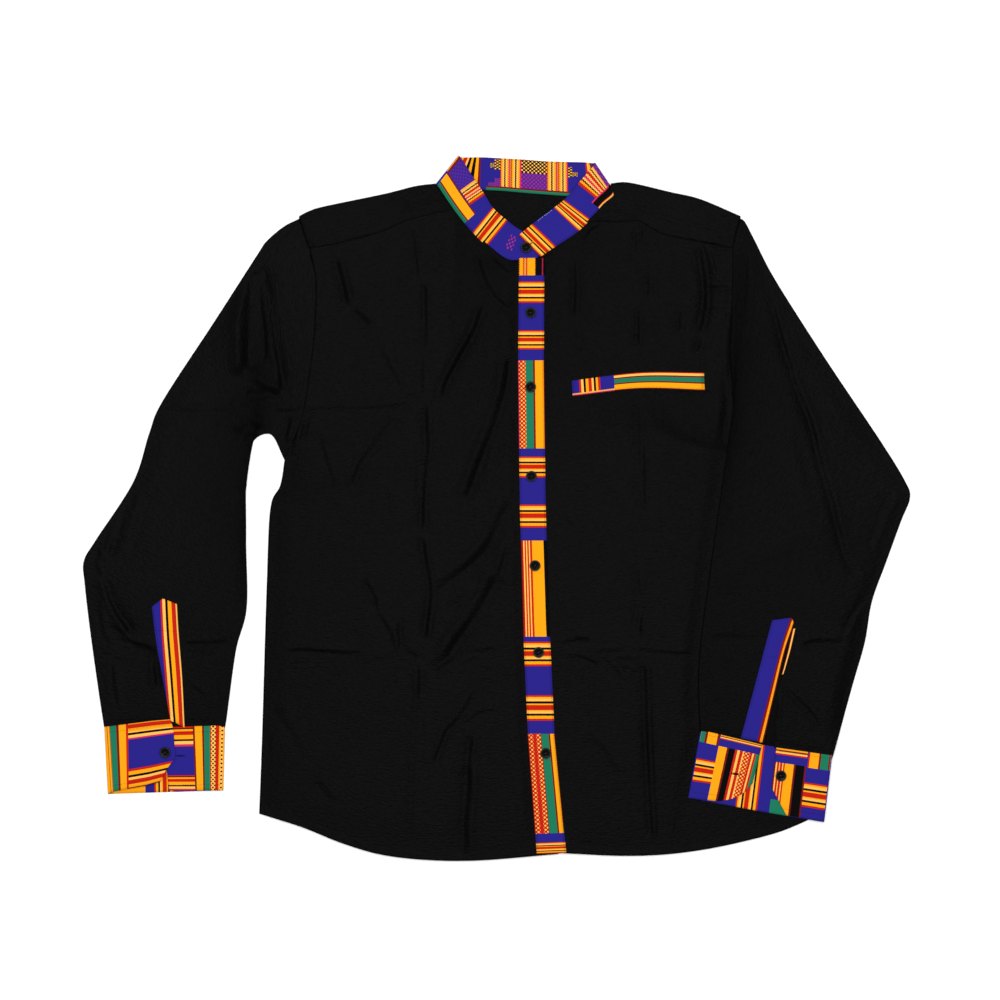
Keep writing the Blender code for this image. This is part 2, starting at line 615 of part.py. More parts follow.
# Trims laid on the panels
def quad(corners, columns, rows):
    """Plan grid between four corners: bottom left, bottom right, top left, top right."""
    bottom_left, bottom_right, top_left, top_right = corners
    return patch(spline([bottom_left, bottom_right]), spline([top_left, top_right]),
                 spline([bottom_left, top_left]), spline([bottom_right, top_right]),
                 columns, rows)


def turned_button(name, x, y, below):
    """A dished disc, turned about its own axis."""
    radius, height = BUTTON_RADIUS * MM, BUTTON_HEIGHT * MM
    profile = [(0, 0), (0.82, 0), (1, 0.35), (1, 0.7), (0.86, 1), (0.66, 0.72), (0, 0.72)]
    bm = bmesh.new()
    rim = [bm.verts.new((radius * r, 0, height * z)) for r, z in profile]
    edges = [bm.edges.new(pair) for pair in zip(rim, rim[1:])]
    bmesh.ops.spin(bm, geom=rim + edges, axis=(0, 0, 1), cent=(0, 0, 0), steps=16,
                   angle=math.tau, use_merge=True, use_duplicate=False)
    bmesh.ops.remove_doubles(bm, verts=bm.verts, dist=1e-6)
    bmesh.ops.recalc_face_normals(bm, faces=bm.faces)
    piece = put(name, bm, "black_button")
    trees = [solid_of(other) for other in below]
    seat = max(top_of(trees, x, y, reach) for reach in (2, 4.3))
    piece.matrix_world = Matrix.Translation(Vector((x, y, seat + BUTTON_GAP)) * MM)


def build_trims(front, placket, sleeve_right, sleeve_left, collar, cuff_right, cuff_left):
    welt = patch(spline([(84, 126), (158, 134), (232, 132)]),
                 spline([(83, 143), (158, 152), (231, 152)]),
                 spline([(84, 126), (83, 143)]), spline([(232, 132), (231, 152)]), 9, 2)
    laid("pocket_welt", welt, [front], "woven_trim", CLOTH)
    laid("sleeve_placket_right", quad([(-367, -234), (-351, -240), (-385, -112),
                                       (-361, -108)], 2, 8), [sleeve_right],
         "woven_trim", CLOTH)
    laid("sleeve_placket_left", quad([(272, -257), (297, -262), (306, -125), (331, -126)],
                                     2, 8), [sleeve_left], "woven_trim", CLOTH)
    laid("slit_binding_left", quad([(299, -262), (309, -263.5), (323.5, -172),
                                    (333, -140)], 1, 6), [sleeve_left], "woven_trim", CLOTH)
    places = [(37, 219), (37, 136), (38, 36), (42, -64), (46, -161), (54, -274)]
    for number, (x, y) in enumerate(places, 1):
        turned_button(f"button_front_{number}", x, y, [placket])
    turned_button("button_collar", 32, 292, [collar])
    turned_button("button_cuff_right", -372, -273, [cuff_right])
    turned_button("button_cuff_left", 317, -299, [cuff_left])


build_back()
build_yoke()
build_front_right()
build_collar()
build_cuff_right()
build_cuff_left()
objects = bpy.data.objects
build_trims(build_front_left(), build_placket(), build_sleeve_right(), build_sleeve_left(),
            objects["collar"], objects["cuff_right"], objects["cuff_left"])
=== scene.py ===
import math

import bmesh
import bpy
import numpy as np
from mathutils import Matrix, Vector
from mathutils.bvhtree import BVHTree


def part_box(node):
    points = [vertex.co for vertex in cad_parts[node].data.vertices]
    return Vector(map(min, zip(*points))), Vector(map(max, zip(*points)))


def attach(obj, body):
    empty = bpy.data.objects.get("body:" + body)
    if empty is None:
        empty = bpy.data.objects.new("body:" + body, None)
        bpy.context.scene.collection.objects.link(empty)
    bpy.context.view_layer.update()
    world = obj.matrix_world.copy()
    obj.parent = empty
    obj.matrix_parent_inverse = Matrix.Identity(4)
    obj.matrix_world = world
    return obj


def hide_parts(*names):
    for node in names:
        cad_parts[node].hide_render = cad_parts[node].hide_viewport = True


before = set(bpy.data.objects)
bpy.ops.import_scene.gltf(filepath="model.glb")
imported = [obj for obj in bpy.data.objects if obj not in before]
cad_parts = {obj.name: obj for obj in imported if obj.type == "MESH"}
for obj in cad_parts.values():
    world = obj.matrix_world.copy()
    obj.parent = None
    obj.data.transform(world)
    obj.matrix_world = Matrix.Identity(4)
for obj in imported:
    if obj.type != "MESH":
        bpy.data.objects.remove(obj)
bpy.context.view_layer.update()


# The table: a matt white card that the shirt lies on. Card is pressed pulp, so it has no gloss
# and only a faint grain.
MM = 0.001


def linear(hexed):
    """An sRGB hex colour as linear red, green and blue, with full alpha."""
    channels = [int(hexed[i:i + 2], 16) / 255 for i in (0, 2, 4)]
    bright = [c / 12.92 if c <= 0.04045 else ((c + 0.055) / 1.055) ** 2.4 for c in channels]
    return (*bright, 1)


def node(tree, kind, inputs, **settings):
    """Adds one node with its settings and with its inputs, each a value or a link."""
    made = tree.nodes.new("ShaderNode" + kind)
    for name, value in settings.items():
        setattr(made, name, value)
    for name, value in inputs.items():
        if isinstance(value, bpy.types.NodeSocket):
            tree.links.new(value, made.inputs[name])
        else:
            made.inputs[name].default_value = value
    return made.outputs


def new_finish(name, **values):
    """A material with the shader's own values set: Base_Color stands for Base Color."""
    made = bpy.data.materials.new(name)
    made.use_nodes = True
    shader = made.node_tree.nodes["Principled BSDF"]
    for socket, value in values.items():
        shader.inputs[socket.replace("_", " ")].default_value = value
    return made, made.node_tree, shader.inputs


def added(name, bm, *finishes):
    """Makes an object of a bmesh. Its faces' material numbers count its finishes from 0."""
    mesh = bpy.data.meshes.new(name)
    bm.to_mesh(mesh)
    bm.free()
    for finish in finishes:
        mesh.materials.append(finish)
    made = bpy.data.objects.new(name, mesh)
    bpy.context.collection.objects.link(made)
    return made


TABLE = 4             # half a side of the card, in metres

white_card, tree, shader = new_finish("white_card", Roughness=0.9, Specular_IOR_Level=0.2)
place = node(tree, "TexCoord", {})["Object"]
pulp = node(tree, "TexNoise", {"Vector": place, "Scale": 900.0, "Detail": 3.0})["Fac"]
shade = node(tree, "ValToRGB", {"Fac": pulp})
tones = tree.nodes[-1].color_ramp.elements
tones[0].color, tones[1].color = linear("F4F4F3"), linear("F9F9F8")
tree.links.new(shade["Color"], shader["Base Color"])
tree.links.new(node(tree, "Bump", {"Height": pulp, "Strength": 0.05, "Distance": 0.0002})["Normal"],
               shader["Normal"])

bm = bmesh.new()
bmesh.ops.create_grid(bm, x_segments=4, y_segments=4, size=TABLE)
added("table", bm, white_card)

# A studio ceiling: one wide soft box over the shirt, a smaller one that rakes in past the wearer's
# right shoulder, and a pale room. The camera hangs straight above.
for name, spot, size, power in (("soft_box", (0.04, 0.3, 3.3), 2.6, 142),
                                ("side_box", (-2.2, 2.6, 2.0), 1.0, 14)):
    light = bpy.data.lights.new(name, "AREA")
    light.shape, light.size, light.energy = "SQUARE", size, power
    lamp = bpy.data.objects.new(name, light)
    lamp.location = spot
    lamp.rotation_euler = (-Vector(spot)).to_track_quat("-Z", "Y").to_euler()
    bpy.context.collection.objects.link(lamp)
world = bpy.data.worlds.new("room")
world.use_nodes = True
world.node_tree.nodes["Background"].inputs["Color"].default_value = linear("F8F7F5")
world.node_tree.nodes["Background"].inputs["Strength"].default_value = 0.22
bpy.context.scene.world = world
bpy.context.scene.view_settings.view_transform = "Standard"

CAMERA_HEIGHT = 3.0               # all in metres
VIEW_WIDTH = 1.12                 # of what the picture shows
PICTURE_MIDDLE = 0.0028, 0.0095   # the spot on the shirt that the camera hangs over
CLOTH_HEIGHT = 0.004              # of the upper cloth, at which the width holds
camera_data = bpy.data.cameras.new("camera")
camera_data.lens = camera_data.sensor_width * CAMERA_HEIGHT / VIEW_WIDTH
camera = bpy.data.objects.new("camera", camera_data)
camera.location = (*PICTURE_MIDDLE, CAMERA_HEIGHT + CLOTH_HEIGHT)
bpy.context.collection.objects.link(camera)
bpy.context.scene.camera = camera


# The back: one panel of black cotton poplin, flat on the table, from the yoke's back seam to the
# shirt-tail hem. Only its edge shows, so it has the soft waves of pressed cloth and no more.
COTTON = 0.5          # wall of the poplin, in millimetres as all sizes of the cloth are
FLAT = 0.45           # middle of a wall that lies on the table
RIPPLE = 0.25         # half the height of the back's soft waves
BACK_SEAM_RIGHT = 0.75    # how far up each armhole the back's seam with the yoke lies
BACK_SEAM_LEFT = 0.6
UNDER_YOKE = 1.5      # how far a panel runs in under the yoke
TUCKED_IN = 0.997     # the back is this much narrower than the fronts that roll over its edges
SIDE_RIGHT = [(-267, -342), (-264, -259), (-259, -88), (-255, -1), (-244, 25), (-239, 54)]
ARM_RIGHT = [(-239, 54), (-219, 102), (-207, 178), (-204, 222), (-204, 256), (-211, 292)]
HEM_RIGHT = [(-267, -342), (-219, -357), (-174, -375), (-129, -388), (-75, -394), (-17, -394),
             (68, -387)]
HEM_LEFT = [(77, -386), (137, -389), (184, -388), (229, -383), (274, -374), (319, -362),
            (359, -345)]
SIDE_LEFT = [(359, -345), (343, -170), (330, -1), (320, 52)]
ARM_LEFT_LOWER = [(320, 52), (294, 66), (274, 94), (264, 128)]
ARM_LEFT_UPPER = [(264, 128), (262, 178), (263, 234), (264, 292)]


def chain(points):
    """Straight runs through points, as a function of 0 to 1 by its length."""
    line = np.array(points, float)
    along = np.append(0, np.cumsum(np.linalg.norm(np.diff(line, axis=0), axis=1)))

    def at(s):
        s = np.asarray(s, float) * along[-1]
        return np.stack([np.interp(s, along, axis) for axis in line.T], -1)

    return at


def spline(points, steps=24):
    """Smooth curve through points, as a function of 0 to 1 by its length."""
    p = np.array(points, float)
    p = np.vstack([2 * p[0] - p[1], p, 2 * p[-1] - p[-2]])
    t = np.linspace(0, 1, steps, endpoint=False)[:, None]
    runs = []
    for a, b, c, d in zip(p, p[1:], p[2:], p[3:]):
        bend = (2 * a - 5 * b + 4 * c - d) * t ** 2 + (3 * b - a - 3 * c + d) * t ** 3
        runs.append(b + ((c - a) * t + bend) / 2)
    return chain(np.vstack(runs + [p[-2:-1]]))


def joined(*parts):
    """One curve from (curve, rows) parts, so that each corner falls on a row."""
    ends = np.append(0, np.cumsum([rows for curve, rows in parts])) / sum(r for c, r in parts)

    def at(s):
        s = np.asarray(s, float)
        out = np.zeros(s.shape + (2,))
        for (curve, rows), low, high in zip(parts, ends, ends[1:]):
            inside = (s >= low - 1e-9) & (s <= high + 1e-9)
            out[inside] = curve(np.clip((s[inside] - low) / (high - low), 0, 1))
        return out

    return at


def moved(curve, dx, dy):
    return lambda s: curve(s) + (dx, dy)


def part_of(curve, low, high):
    return lambda s: curve(low + (high - low) * np.asarray(s, float))


def patch(bottom, top, left, right, u, v):
    """Plan points between four curves (a Coons patch), at u across and v up."""
    u, v = np.meshgrid(u, v)
    a, b = u[..., None], v[..., None]
    sides = []
    for curve, end in ((left, 0.0), (right, 1.0)):
        shift = (1 - b) * (bottom(end) - curve(0.0)) + b * (top(end) - curve(1.0))
        sides.append(curve(v) + shift)
    across = (1 - a) * sides[0] + a * sides[1]
    along = (1 - b) * bottom(u) + b * top(u)
    corners = (1 - a) * ((1 - b) * bottom(0.0) + b * top(0.0)) + a * (
        (1 - b) * bottom(1.0) + b * top(1.0)
    )
    return across + along - corners


def lengths(points, axis):
    """Length of cloth from the first row or column of points to each of the others."""
    steps = np.linalg.norm(np.diff(points, axis=axis), axis=2).mean(1 - axis)
    return np.append(0, np.cumsum(steps))


def even(count):
    return np.linspace(0, 1, count + 1)


def smooth(t):
    t = np.clip(t, 0, 1)
    return t * t * (3 - 2 * t)


def waves(x, y, size):
    """Slow unevenness of cloth that lies loose, from -1 to 1, with a wave of about size."""
    a = np.sin(x / size * 4.1 + np.sin(y / size * 2.3) * 1.3 + 0.6)
    b = np.sin(y / size * 3.3 + np.sin(x / size * 2.9 + 1.1) * 1.5 + 2.0)
    return 0.5 * a * b + 0.5 * np.sin((x + 0.7 * y) / size * 2.2 + b)


def grid_of(points, left_out=None):
    """A grid moved to its points, with its place on the cloth in mm kept as its UV."""
    rows, columns = points.shape[0] - 1, points.shape[1] - 1
    bm = bmesh.new()
    bmesh.ops.create_grid(bm, x_segments=columns, y_segments=rows, size=1)
    across, along = lengths(points, 1), lengths(points, 0)
    threads = bm.loops.layers.uv.new("threads")
    bm.verts.index_update()
    for vertex, point in zip(bm.verts, points.reshape(-1, 3)):
        vertex.co = Vector(point) * MM
    for face in bm.faces:
        for loop in face.loops:
            row, column = divmod(loop.vert.index, columns + 1)
            loop[threads].uv = (across[column], along[row])
    if left_out is not None:
        gone = [face for face, out in zip(bm.faces, left_out.ravel()) if out]
        bmesh.ops.delete(bm, geom=gone, context="FACES")
    return bm


def fitted(piece, node_name=None):
    """Makes an object a piece of the shirt, in the place of its CAD node where it has one."""
    piece.data.shade_smooth()
    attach(piece, "root")
    if node_name:
        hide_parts(node_name)
    return piece


def cloth(name, bm, finishes, wall):
    """Closes a sewn piece and gives it its wall."""
    bmesh.ops.remove_doubles(bm, verts=bm.verts, dist=1e-6)
    bmesh.ops.recalc_face_normals(bm, faces=bm.faces)
    piece = added(name + "_cloth", bm, *finishes)
    solidify = piece.modifiers.new("wall", "SOLIDIFY")
    solidify.thickness = wall * MM
    solidify.offset = 0
    return fitted(piece, name)


# Cotton poplin, piece dyed black: plain weave of 0.25 mm threads, drawn four times as coarse so
# that it shows. It is matt, with a faint bloom of fibre and slubs along the weft.
def woven_relief(tree, spacing, depth):
    """Bump of a plain weave, from the piece's own UV in millimetres."""
    uv = node(tree, "UVMap", {}, uv_map="threads")["UV"]
    per_wave = 2 * math.pi / 20 / spacing      # a wave texture has 20 radians to the unit
    warp = node(tree, "TexWave", {"Vector": uv, "Scale": per_wave, "Distortion": 1.2,
                                  "Detail": 1.0}, bands_direction="X")["Fac"]
    weft = node(tree, "TexWave", {"Vector": uv, "Scale": per_wave, "Distortion": 1.2,
                                  "Detail": 1.0}, bands_direction="Y")["Fac"]
    over = node(tree, "Math", {0: warp, 1: weft}, operation="MULTIPLY")["Value"]
    fibre = node(tree, "TexNoise", {"Vector": uv, "Scale": 1.6, "Detail": 3.0})["Fac"]
    height = node(tree, "Math", {0: over, 1: fibre}, operation="ADD")["Value"]
    bump = node(tree, "Bump", {"Height": height, "Strength": 0.5, "Distance": depth * MM})
    return uv, fibre, bump["Normal"]


black_cotton, tree, shader = new_finish("black_cotton_poplin", Specular_IOR_Level=0.032,
                                        Roughness=0.5)
uv, fibre, relief = woven_relief(tree, 1.0, 0.1)
slubs = node(tree, "TexNoise", {
    "Vector": node(tree, "Mapping", {"Vector": uv, "Scale": (0.16, 0.5, 1.0)})["Vector"],
    "Scale": 1.0, "Detail": 4.0})["Fac"]
worn = node(tree, "TexNoise", {"Vector": uv, "Scale": 0.25, "Detail": 4.0})["Fac"]
tone = node(tree, "Math", {0: slubs, 1: worn, 2: fibre}, operation="MULTIPLY_ADD")["Value"]
dye = node(tree, "ValToRGB", {"Fac": tone})
TONE_LOW, TONE_HIGH = 0.55, 0.95      # range of the tone, which is three noises together
tones = tree.nodes[-1].color_ramp.elements
tones[0].position, tones[0].color = TONE_LOW, linear("030303")
tones[1].position, tones[1].color = TONE_HIGH, linear("080808")
dull = node(tree, "MapRange", {"Value": tone, "From Min": TONE_LOW, "From Max": TONE_HIGH,
                               "To Min": 0.46, "To Max": 0.56})["Result"]
puckers = node(tree, "Math", {0: worn, 1: 0.5, 2: slubs}, operation="MULTIPLY_ADD")["Value"]
puckered = node(tree, "Bump", {"Height": puckers, "Strength": 1.0, "Distance": 1.3 * MM,
                               "Normal": relief})["Normal"]
tree.links.new(dye["Color"], shader["Base Color"])
tree.links.new(dull, shader["Roughness"])
tree.links.new(puckered, shader["Normal"])


def poplin(name, bm):
    """One piece of the black cotton."""
    return cloth(name, bm, [black_cotton], COTTON)


right = joined((spline(SIDE_RIGHT), 18), (part_of(spline(ARM_RIGHT), 0, BACK_SEAM_RIGHT), 6))
left = joined((spline(SIDE_LEFT), 18), (spline(ARM_LEFT_LOWER), 3),
              (part_of(spline(ARM_LEFT_UPPER), 0, BACK_SEAM_LEFT), 3))
hem = joined((spline(HEM_RIGHT), 12), (spline(HEM_LEFT), 12))
top = moved(spline([right(1.0), left(1.0)]), 0, UNDER_YOKE)
plan = patch(hem, top, right, left, even(120), even(140))
plan[:, :, 0] *= TUCKED_IN
z = FLAT + RIPPLE * (1 + waves(plan[..., 0], plan[..., 1], 70))
back = poplin("back", grid_of(np.dstack([plan, z])))


# The two fronts: poplin panels over the back, joined to it at the side seams. The right one runs
# under the button strip and ends at its button stand. Drag folds hang from the strip and from the
# shoulders, and straight creases show how the shirt was folded for its packet.
FRONT = 5.4           # middle of a loose front's wall over the table
TUCKED = 3.0          # the same where a sleeve lies on it
CLEAR_OF_SLEEVE = 22  # a front starts to sink this far from the sleeve on it
ARMPIT = 165          # and below this height
EDGE = 2.0            # the same at a side seam
HEM = 2.6             # the same at the hem
UNDER_PLACKET = 3.5   # the right front's edge
PLACKET = 5.4         # middle of the button strip's wall
TO_PLACKET = 0.85     # from there down to the left front's wall
ALLOWANCE = 0.5       # rise of a seam allowance pressed under the cloth
ALLOWANCE_WIDTH = 6.5
ARM_LAP = 0.9         # how far a front runs past its armhole, under the seam
HEM_DEPTH = 6.5       # of the hem, which is turned up twice, and its rise
HEM_RISE = 0.45
HEM_SETTLE = 45       # folds die out over this much towards the hem
SIDE_SETTLE = 30      # and over this much towards a side seam
YOKE_SEAM_RIGHT = [(-211, 292), (-176, 298), (-132, 310), (-95, 325), (-48, 336)]
NECK_RIGHT = [(-48, 336), (-34, 318), (-9.6, 294.6), (14, 278.2), (47, 277.6)]
BUTTON_STAND = [(68, -387), (55, -254), (49, -144), (46, -1), (44, 163), (47, 278)]
PLACKET_RIGHT_EDGE = [(44, -388), (34, -254), (29, -144), (25, -1), (23, 163), (24, 277)]
PLACKET_LEFT_EDGE = [(77, -386), (64, -253), (58, -125), (54, 2), (52, 163), (52.5, 281)]
NECK_LEFT = [(52.5, 281.5), (64, 294), (89, 310), (100, 322)]
YOKE_SEAM_LEFT = [(100, 322), (143, 322), (157, 323), (173, 314), (193, 306), (264, 292)]
INNER_LEFT = [(265, 128), (266, 112), (259, 66), (239, -69), (226, -170), (227, -244), (230, -248)]
# Each crease: its points, depth (below 0 a ridge), half-width, and the height of the bank on its
# left side (below 0 on its right)
FRONT_CREASES = [
    ([(-183, 283), (-175, 253), (-169, 225)], 3.5, 3, 2.5),
    ([(-166, 223), (-153, 213), (-143, 201)], 2.5, 3.6, 1.4),
    ([(-134, 183), (-118, 151), (-104, 127)], 1.3, 2.2, 0.7),
    ([(-105, 348), (-100, 328)], 1.4, 2.4, 0.7),
    ([(-98, 319), (-94, 290), (-90, 257)], 2, 2.4, 1.1),
    ([(-60, 321), (-64, 290), (-73, 258)], 0.9, 5, 0.5),
    ([(-83, 256), (-82, 234), (-82, 200), (-83, 175)], 2.6, 2.4, 1.3),
    ([(-85, 175), (-86, 150), (-86, 123)], 1.2, 2.2, 0.5),
    ([(-82, 119), (-81, 88), (-80, 71), (-83, 43), (-85, 10), (-86, -27)], 2.6, 2.6, 1.4),
    ([(-89, 74), (-90, 10)], 0.9, 2.2, -0.5),
    ([(-86, -30), (-82, -58), (-78, -80), (-77, -97), (-79, -116), (-83, -150)], 2.9, 2.8, 1.6),
    ([(-91, -170), (-91, -214), (-95, -270), (-97, -326), (-98, -369)], -1.4, 2.2, 0),
    ([(-86, -174), (-85, -192), (-86, -214)], 2, 3, -0.7),
    ([(-25, 286), (-17, 260), (-8, 242), (6, 227), (22, 220)], 2.9, 2.8, 1.6),
    ([(-12, 283), (3, 269), (16, 259), (24, 255)], 2.9, 3.6, 1.4),
    ([(-14, 230), (-24, 200), (-40, 171), (-51, 151), (-58, 135), (-61, 119)], 3.3, 3.2, -2.3),
    ([(15, 172), (11, 138), (3, 110), (-6, 82), (-15, 60), (-25, 34), (-35, 6)], 3.8, 4.6, -2),
    ([(8, 86), (-1, 60), (-4, 38)], 1.2, 4, -0.5),
    ([(18, 10), (7, -7), (1, -21), (-8, -41), (-25, -60), (-44, -76), (-70, -94)], 3.2, 5.4, -1.8),
    ([(13, -35), (8, -58), (1, -81)], 2.2, 3.2, -1.1),
    ([(3, -72), (-11, -99), (-25, -123), (-42, -147), (-51, -161), (-53, -173)], 4.2, 5.6, -2.5),
    ([(-50, -164), (-63, -173), (-76, -183)], 2.9, 3.6, 1.1),
    ([(-20, -91), (-42, -105), (-60, -116)], 1.2, 5, -0.7),
    ([(-111, 105), (-123, 90), (-134, 74), (-145, 60), (-154, 45), (-163, 21)], 1.9, 3.4, -1.1),
    ([(-201, 88), (-195, 60), (-188, 38), (-181, 15)], 1.3, 2.6, 0.7),
    ([(-124, 21), (-123, -13)], 1, 3, 0.5),
    ([(-154, -74), (-145, -89), (-138, -102), (-137, -117)], 2.2, 2.4, 1.1),
    ([(-136, -116), (-123, -138), (-115, -158), (-110, -170)], 1.4, 3, 0.9),
    ([(-110, -119), (-109, -142), (-108, -167)], 2.3, 2.2, -0.9),
    ([(-255, 109), (-239, 108), (-219, 109)], 2.3, 2.4, 0.9),
    ([(-221, 108), (-188, 111), (-143, 111), (-109, 115), (-96, 119)], 1.6, 2.3, 0.7),
    ([(-105, 127), (-87, 125)], 1.3, 2.3, 0.5),
    ([(-262, -165), (-244, -169)], 2, 2.2, 0.7),
    ([(-242, -162), (-221, -160), (-199, -161), (-171, -163), (-148, -162)], 2.3, 2.5, 1.1),
    ([(-241, -170), (-210, -171), (-176, -170), (-143, -171), (-94, -170)], 1.4, 2.3, -0.5),
    ([(-105, -158), (-97, -164), (-89, -166)], 2.3, 3, 0.9),
    ([(-40, -164), (-22, -161), (3, -157)], 2, 2.5, 0.9),
    ([(-40, -173), (-17, -167)], 1.3, 2.2, 0.4),
    ([(-23, -201), (-31, -217), (-44, -237), (-55, -248), (-61, -262),
      (-68, -279), (-72, -291)], 2, 2.4, -0.9),
    ([(-38, -245), (-26, -234), (-17, -229), (-6, -227), (-1, -220)], 2, 2.3, 0.9),
    ([(-30, -251), (-33, -276), (-34, -302)], 2.9, 2.6, 1.4),
    ([(-34, -287), (-35, -315), (-38, -349), (-38, -395)], 4.2, 4.2, 2.5),
    ([(-255, -214), (-244, -235), (-232, -254), (-225, -270), (-218, -287)], 1.4, 5, 0.7),
    ([(-209, -298), (-197, -315), (-182, -332)], 1.3, 4, 0.7),
    ([(-258, -248), (-257, -265), (-258, -287), (-259, -304)], 1.7, 2.3, 0.5),
    ([(-212, 303), (-207, 287)], 1.7, 2.2, 0.7),
    ([(-213, 108), (-214, 94), (-218, 74)], 2.3, 2.3, 1.3),
    ([(-222, 108), (-226, 90), (-230, 71), (-234, 58)], 2.5, 2.3, 1.4),
    ([(-231, 108), (-235, 94), (-238, 77)], 2.5, 2.5, 1.4),
    ([(85, 282), (85, 234), (83, 211)], 2.2, 2.4, 1.1),
    ([(86, 211), (86, 171)], 0.9, 2.2, 0.4),
    ([(95, 296), (106, 310), (119, 316)], 2.3, 3, 1.3),
    ([(124, 342), (137, 337), (155, 332)], 2, 3, 1.1),
    ([(153, 318), (153, 276)], 1.6, 2.3, 0.7),
    ([(160, 321), (160, 295)], 1.3, 2.2, 0.5),
    ([(167, 267), (166, 232)], 1.6, 2.4, 0.7),
    ([(156, 229), (156, 179)], 2.3, 2.4, 1.1),
    ([(203, 226), (201, 195)], 2.3, 2.6, 1.1),
    ([(198, 281), (209, 258), (221, 239)], 1, 5, 0.5),
    ([(223, 298), (227, 276), (230, 250), (230, 228), (227, 211), (223, 193)], 3.3, 3, 2.2),
    ([(227, 192), (221, 174)], 2.5, 2.5, 1.1),
    ([(229, 301), (238, 283), (246, 255)], 2, 2.3, 1.1),
    ([(229, 295), (264, 296)], 1.4, 2.2, 0.5),
    ([(229, 245), (242, 246), (264, 247)], 2.9, 2.5, 1.3),
    ([(229, 222), (249, 222)], 1.4, 2.2, 0.5),
    ([(276, 284), (273, 245), (268, 211), (264, 178), (262, 138),
      (259, 110), (256, 71)], 3.2, 5, -1.4),
    ([(195, 129), (231, 129), (251, 126)], 1.4, 2.3, 0.5),
    ([(70, 105), (87, 94), (115, 70)], 0.9, 6, 0.5),
    ([(115, 43), (123, 10)], 0.7, 6, 0.5),
    ([(68, -4), (85, -25)], 1.2, 4, 0.7),
    ([(156, 122), (157, 54), (160, -4)], 1.2, 2.3, 0.5),
    ([(166, 77), (166, -13)], 1, 2.3, -0.5),
    ([(155, -61), (157, -102), (155, -125), (152, -137)], 2, 2.4, 0.9),
    ([(161, -91), (162, -130), (163, -148)], 2, 2.3, -0.7),
    ([(62, -145), (72, -151), (92, -148), (107, -147)], 2.3, 2.5, 1.1),
    ([(105, -161), (115, -162), (148, -158)], 1.9, 2.3, 0.9),
    ([(151, -157), (165, -160), (193, -163), (226, -165)], 2, 2.4, 0.9),
    ([(69, -167), (90, -167), (104, -172), (116, -180)], 2.2, 2.3, 1.1),
    ([(113, -165), (124, -174), (135, -186), (142, -197)], 1.9, 2.5, 0.9),
    ([(126, -164), (137, -169), (161, -171)], 2, 2.3, 0.9),
    ([(137, -174), (151, -183), (163, -185)], 1.4, 2.2, 0.5),
    ([(163, -170), (164, -203), (165, -237), (167, -282), (169, -326), (172, -374)], 2.9, 2.6, 1.6),
    ([(173, -214), (176, -304), (180, -374)], 0.9, 2.4, -0.5),
    ([(71, -366), (89, -369)], 1.4, 2.2, 0.5),
    ([(72, -372), (92, -374), (115, -377)], 1.4, 2.2, 0.5),
    ([(98, -254), (115, -270), (128, -291), (137, -304)], 1.2, 4.4, 0.7),
]


def near(points, x, y):
    """Distance from each place to a line, how far along it that is, and its signed side."""
    line = spline(points)(even(24)) if len(points) > 2 else np.array(points, float)
    a, d = line[:-1], np.diff(line, axis=0)
    px, py = x[..., None] - a[:, 0], y[..., None] - a[:, 1]
    t = np.clip((px * d[:, 0] + py * d[:, 1]) / (d ** 2).sum(1), 0, 1)
    far = np.hypot(px - t * d[:, 0], py - t * d[:, 1])
    i = far.argmin(-1)[..., None]
    distance = np.take_along_axis(far, i, -1)[..., 0]
    along = (np.take_along_axis(t, i, -1)[..., 0] + i[..., 0]) / len(a)
    side = np.take_along_axis(d[:, 0] * py - d[:, 1] * px, i, -1)[..., 0]
    return distance, along, np.sign(side)


FADE = 13             # a crease runs out over this much at its ends
BEAT = 17             # and its depth swells and sinks once in 2 pi times this
GENTLE = 1.8          # its gentle side is this much wider than its steep one
BANK_AT, BANK_WIDE = 1.9, 1.3      # place and width of its bank, in half-widths


def creased(creases, x, y):
    """Height of the listed creases: troughs with a soft bank on one side."""
    height = np.zeros(x.shape)
    for points, depth, width, bank in creases:
        p = np.array(points, float)
        reach = 4 * width
        low, high = p.min(0) - reach, p.max(0) + reach
        spot = (x > low[0]) & (x < high[0]) & (y > low[1]) & (y < high[1])
        if not spot.any():
            continue
        distance, along, side = near(points, x[spot], y[spot])
        length = np.linalg.norm(np.diff(p, axis=0), axis=1).sum()
        taper = min(0.3, FADE / length)
        ends = smooth(along / taper) * smooth((1 - along) / taper)
        ends *= 0.8 + 0.2 * np.sin(along * length / BEAT + depth * 5)
        toward = distance * side * (np.sign(bank) or 1)
        steep = np.exp(-(toward / width) ** 2)
        gentle = np.exp(-np.abs(toward / width / GENTLE) ** 1.3)
        over = (toward - BANK_AT * width) / (BANK_WIDE * width)
        trough = np.where(toward > 0, steep, gentle)
        height[spot] += ends * (abs(bank) * np.exp(-over ** 2) - depth * trough)
    return height


def x_at(points, y):
    p = np.array(sorted(points, key=lambda point: point[1]), float)
    return np.interp(y, p[:, 1], p[:, 0])


def y_at(points, x):
    p = np.array(sorted(points), float)
    return np.interp(x, p[:, 0], p[:, 1])


def slack(x, y, high, long, short):
    """Waves of cloth that lies loose: long ones of a height, and low short ones across them."""
    return high * waves(x, y, long) + 0.2 * waves(y, x, short)


def under_sleeve(x, y):
    """1 where the left sleeve or its cuff lies on the front, 0 well clear of it."""
    inner = INNER_LEFT + [(214, -324), (212, -400)]
    return smooth((x - x_at(inner, y) + CLEAR_OF_SLEEVE) / 18) * smooth((ARMPIT - y) / 30)


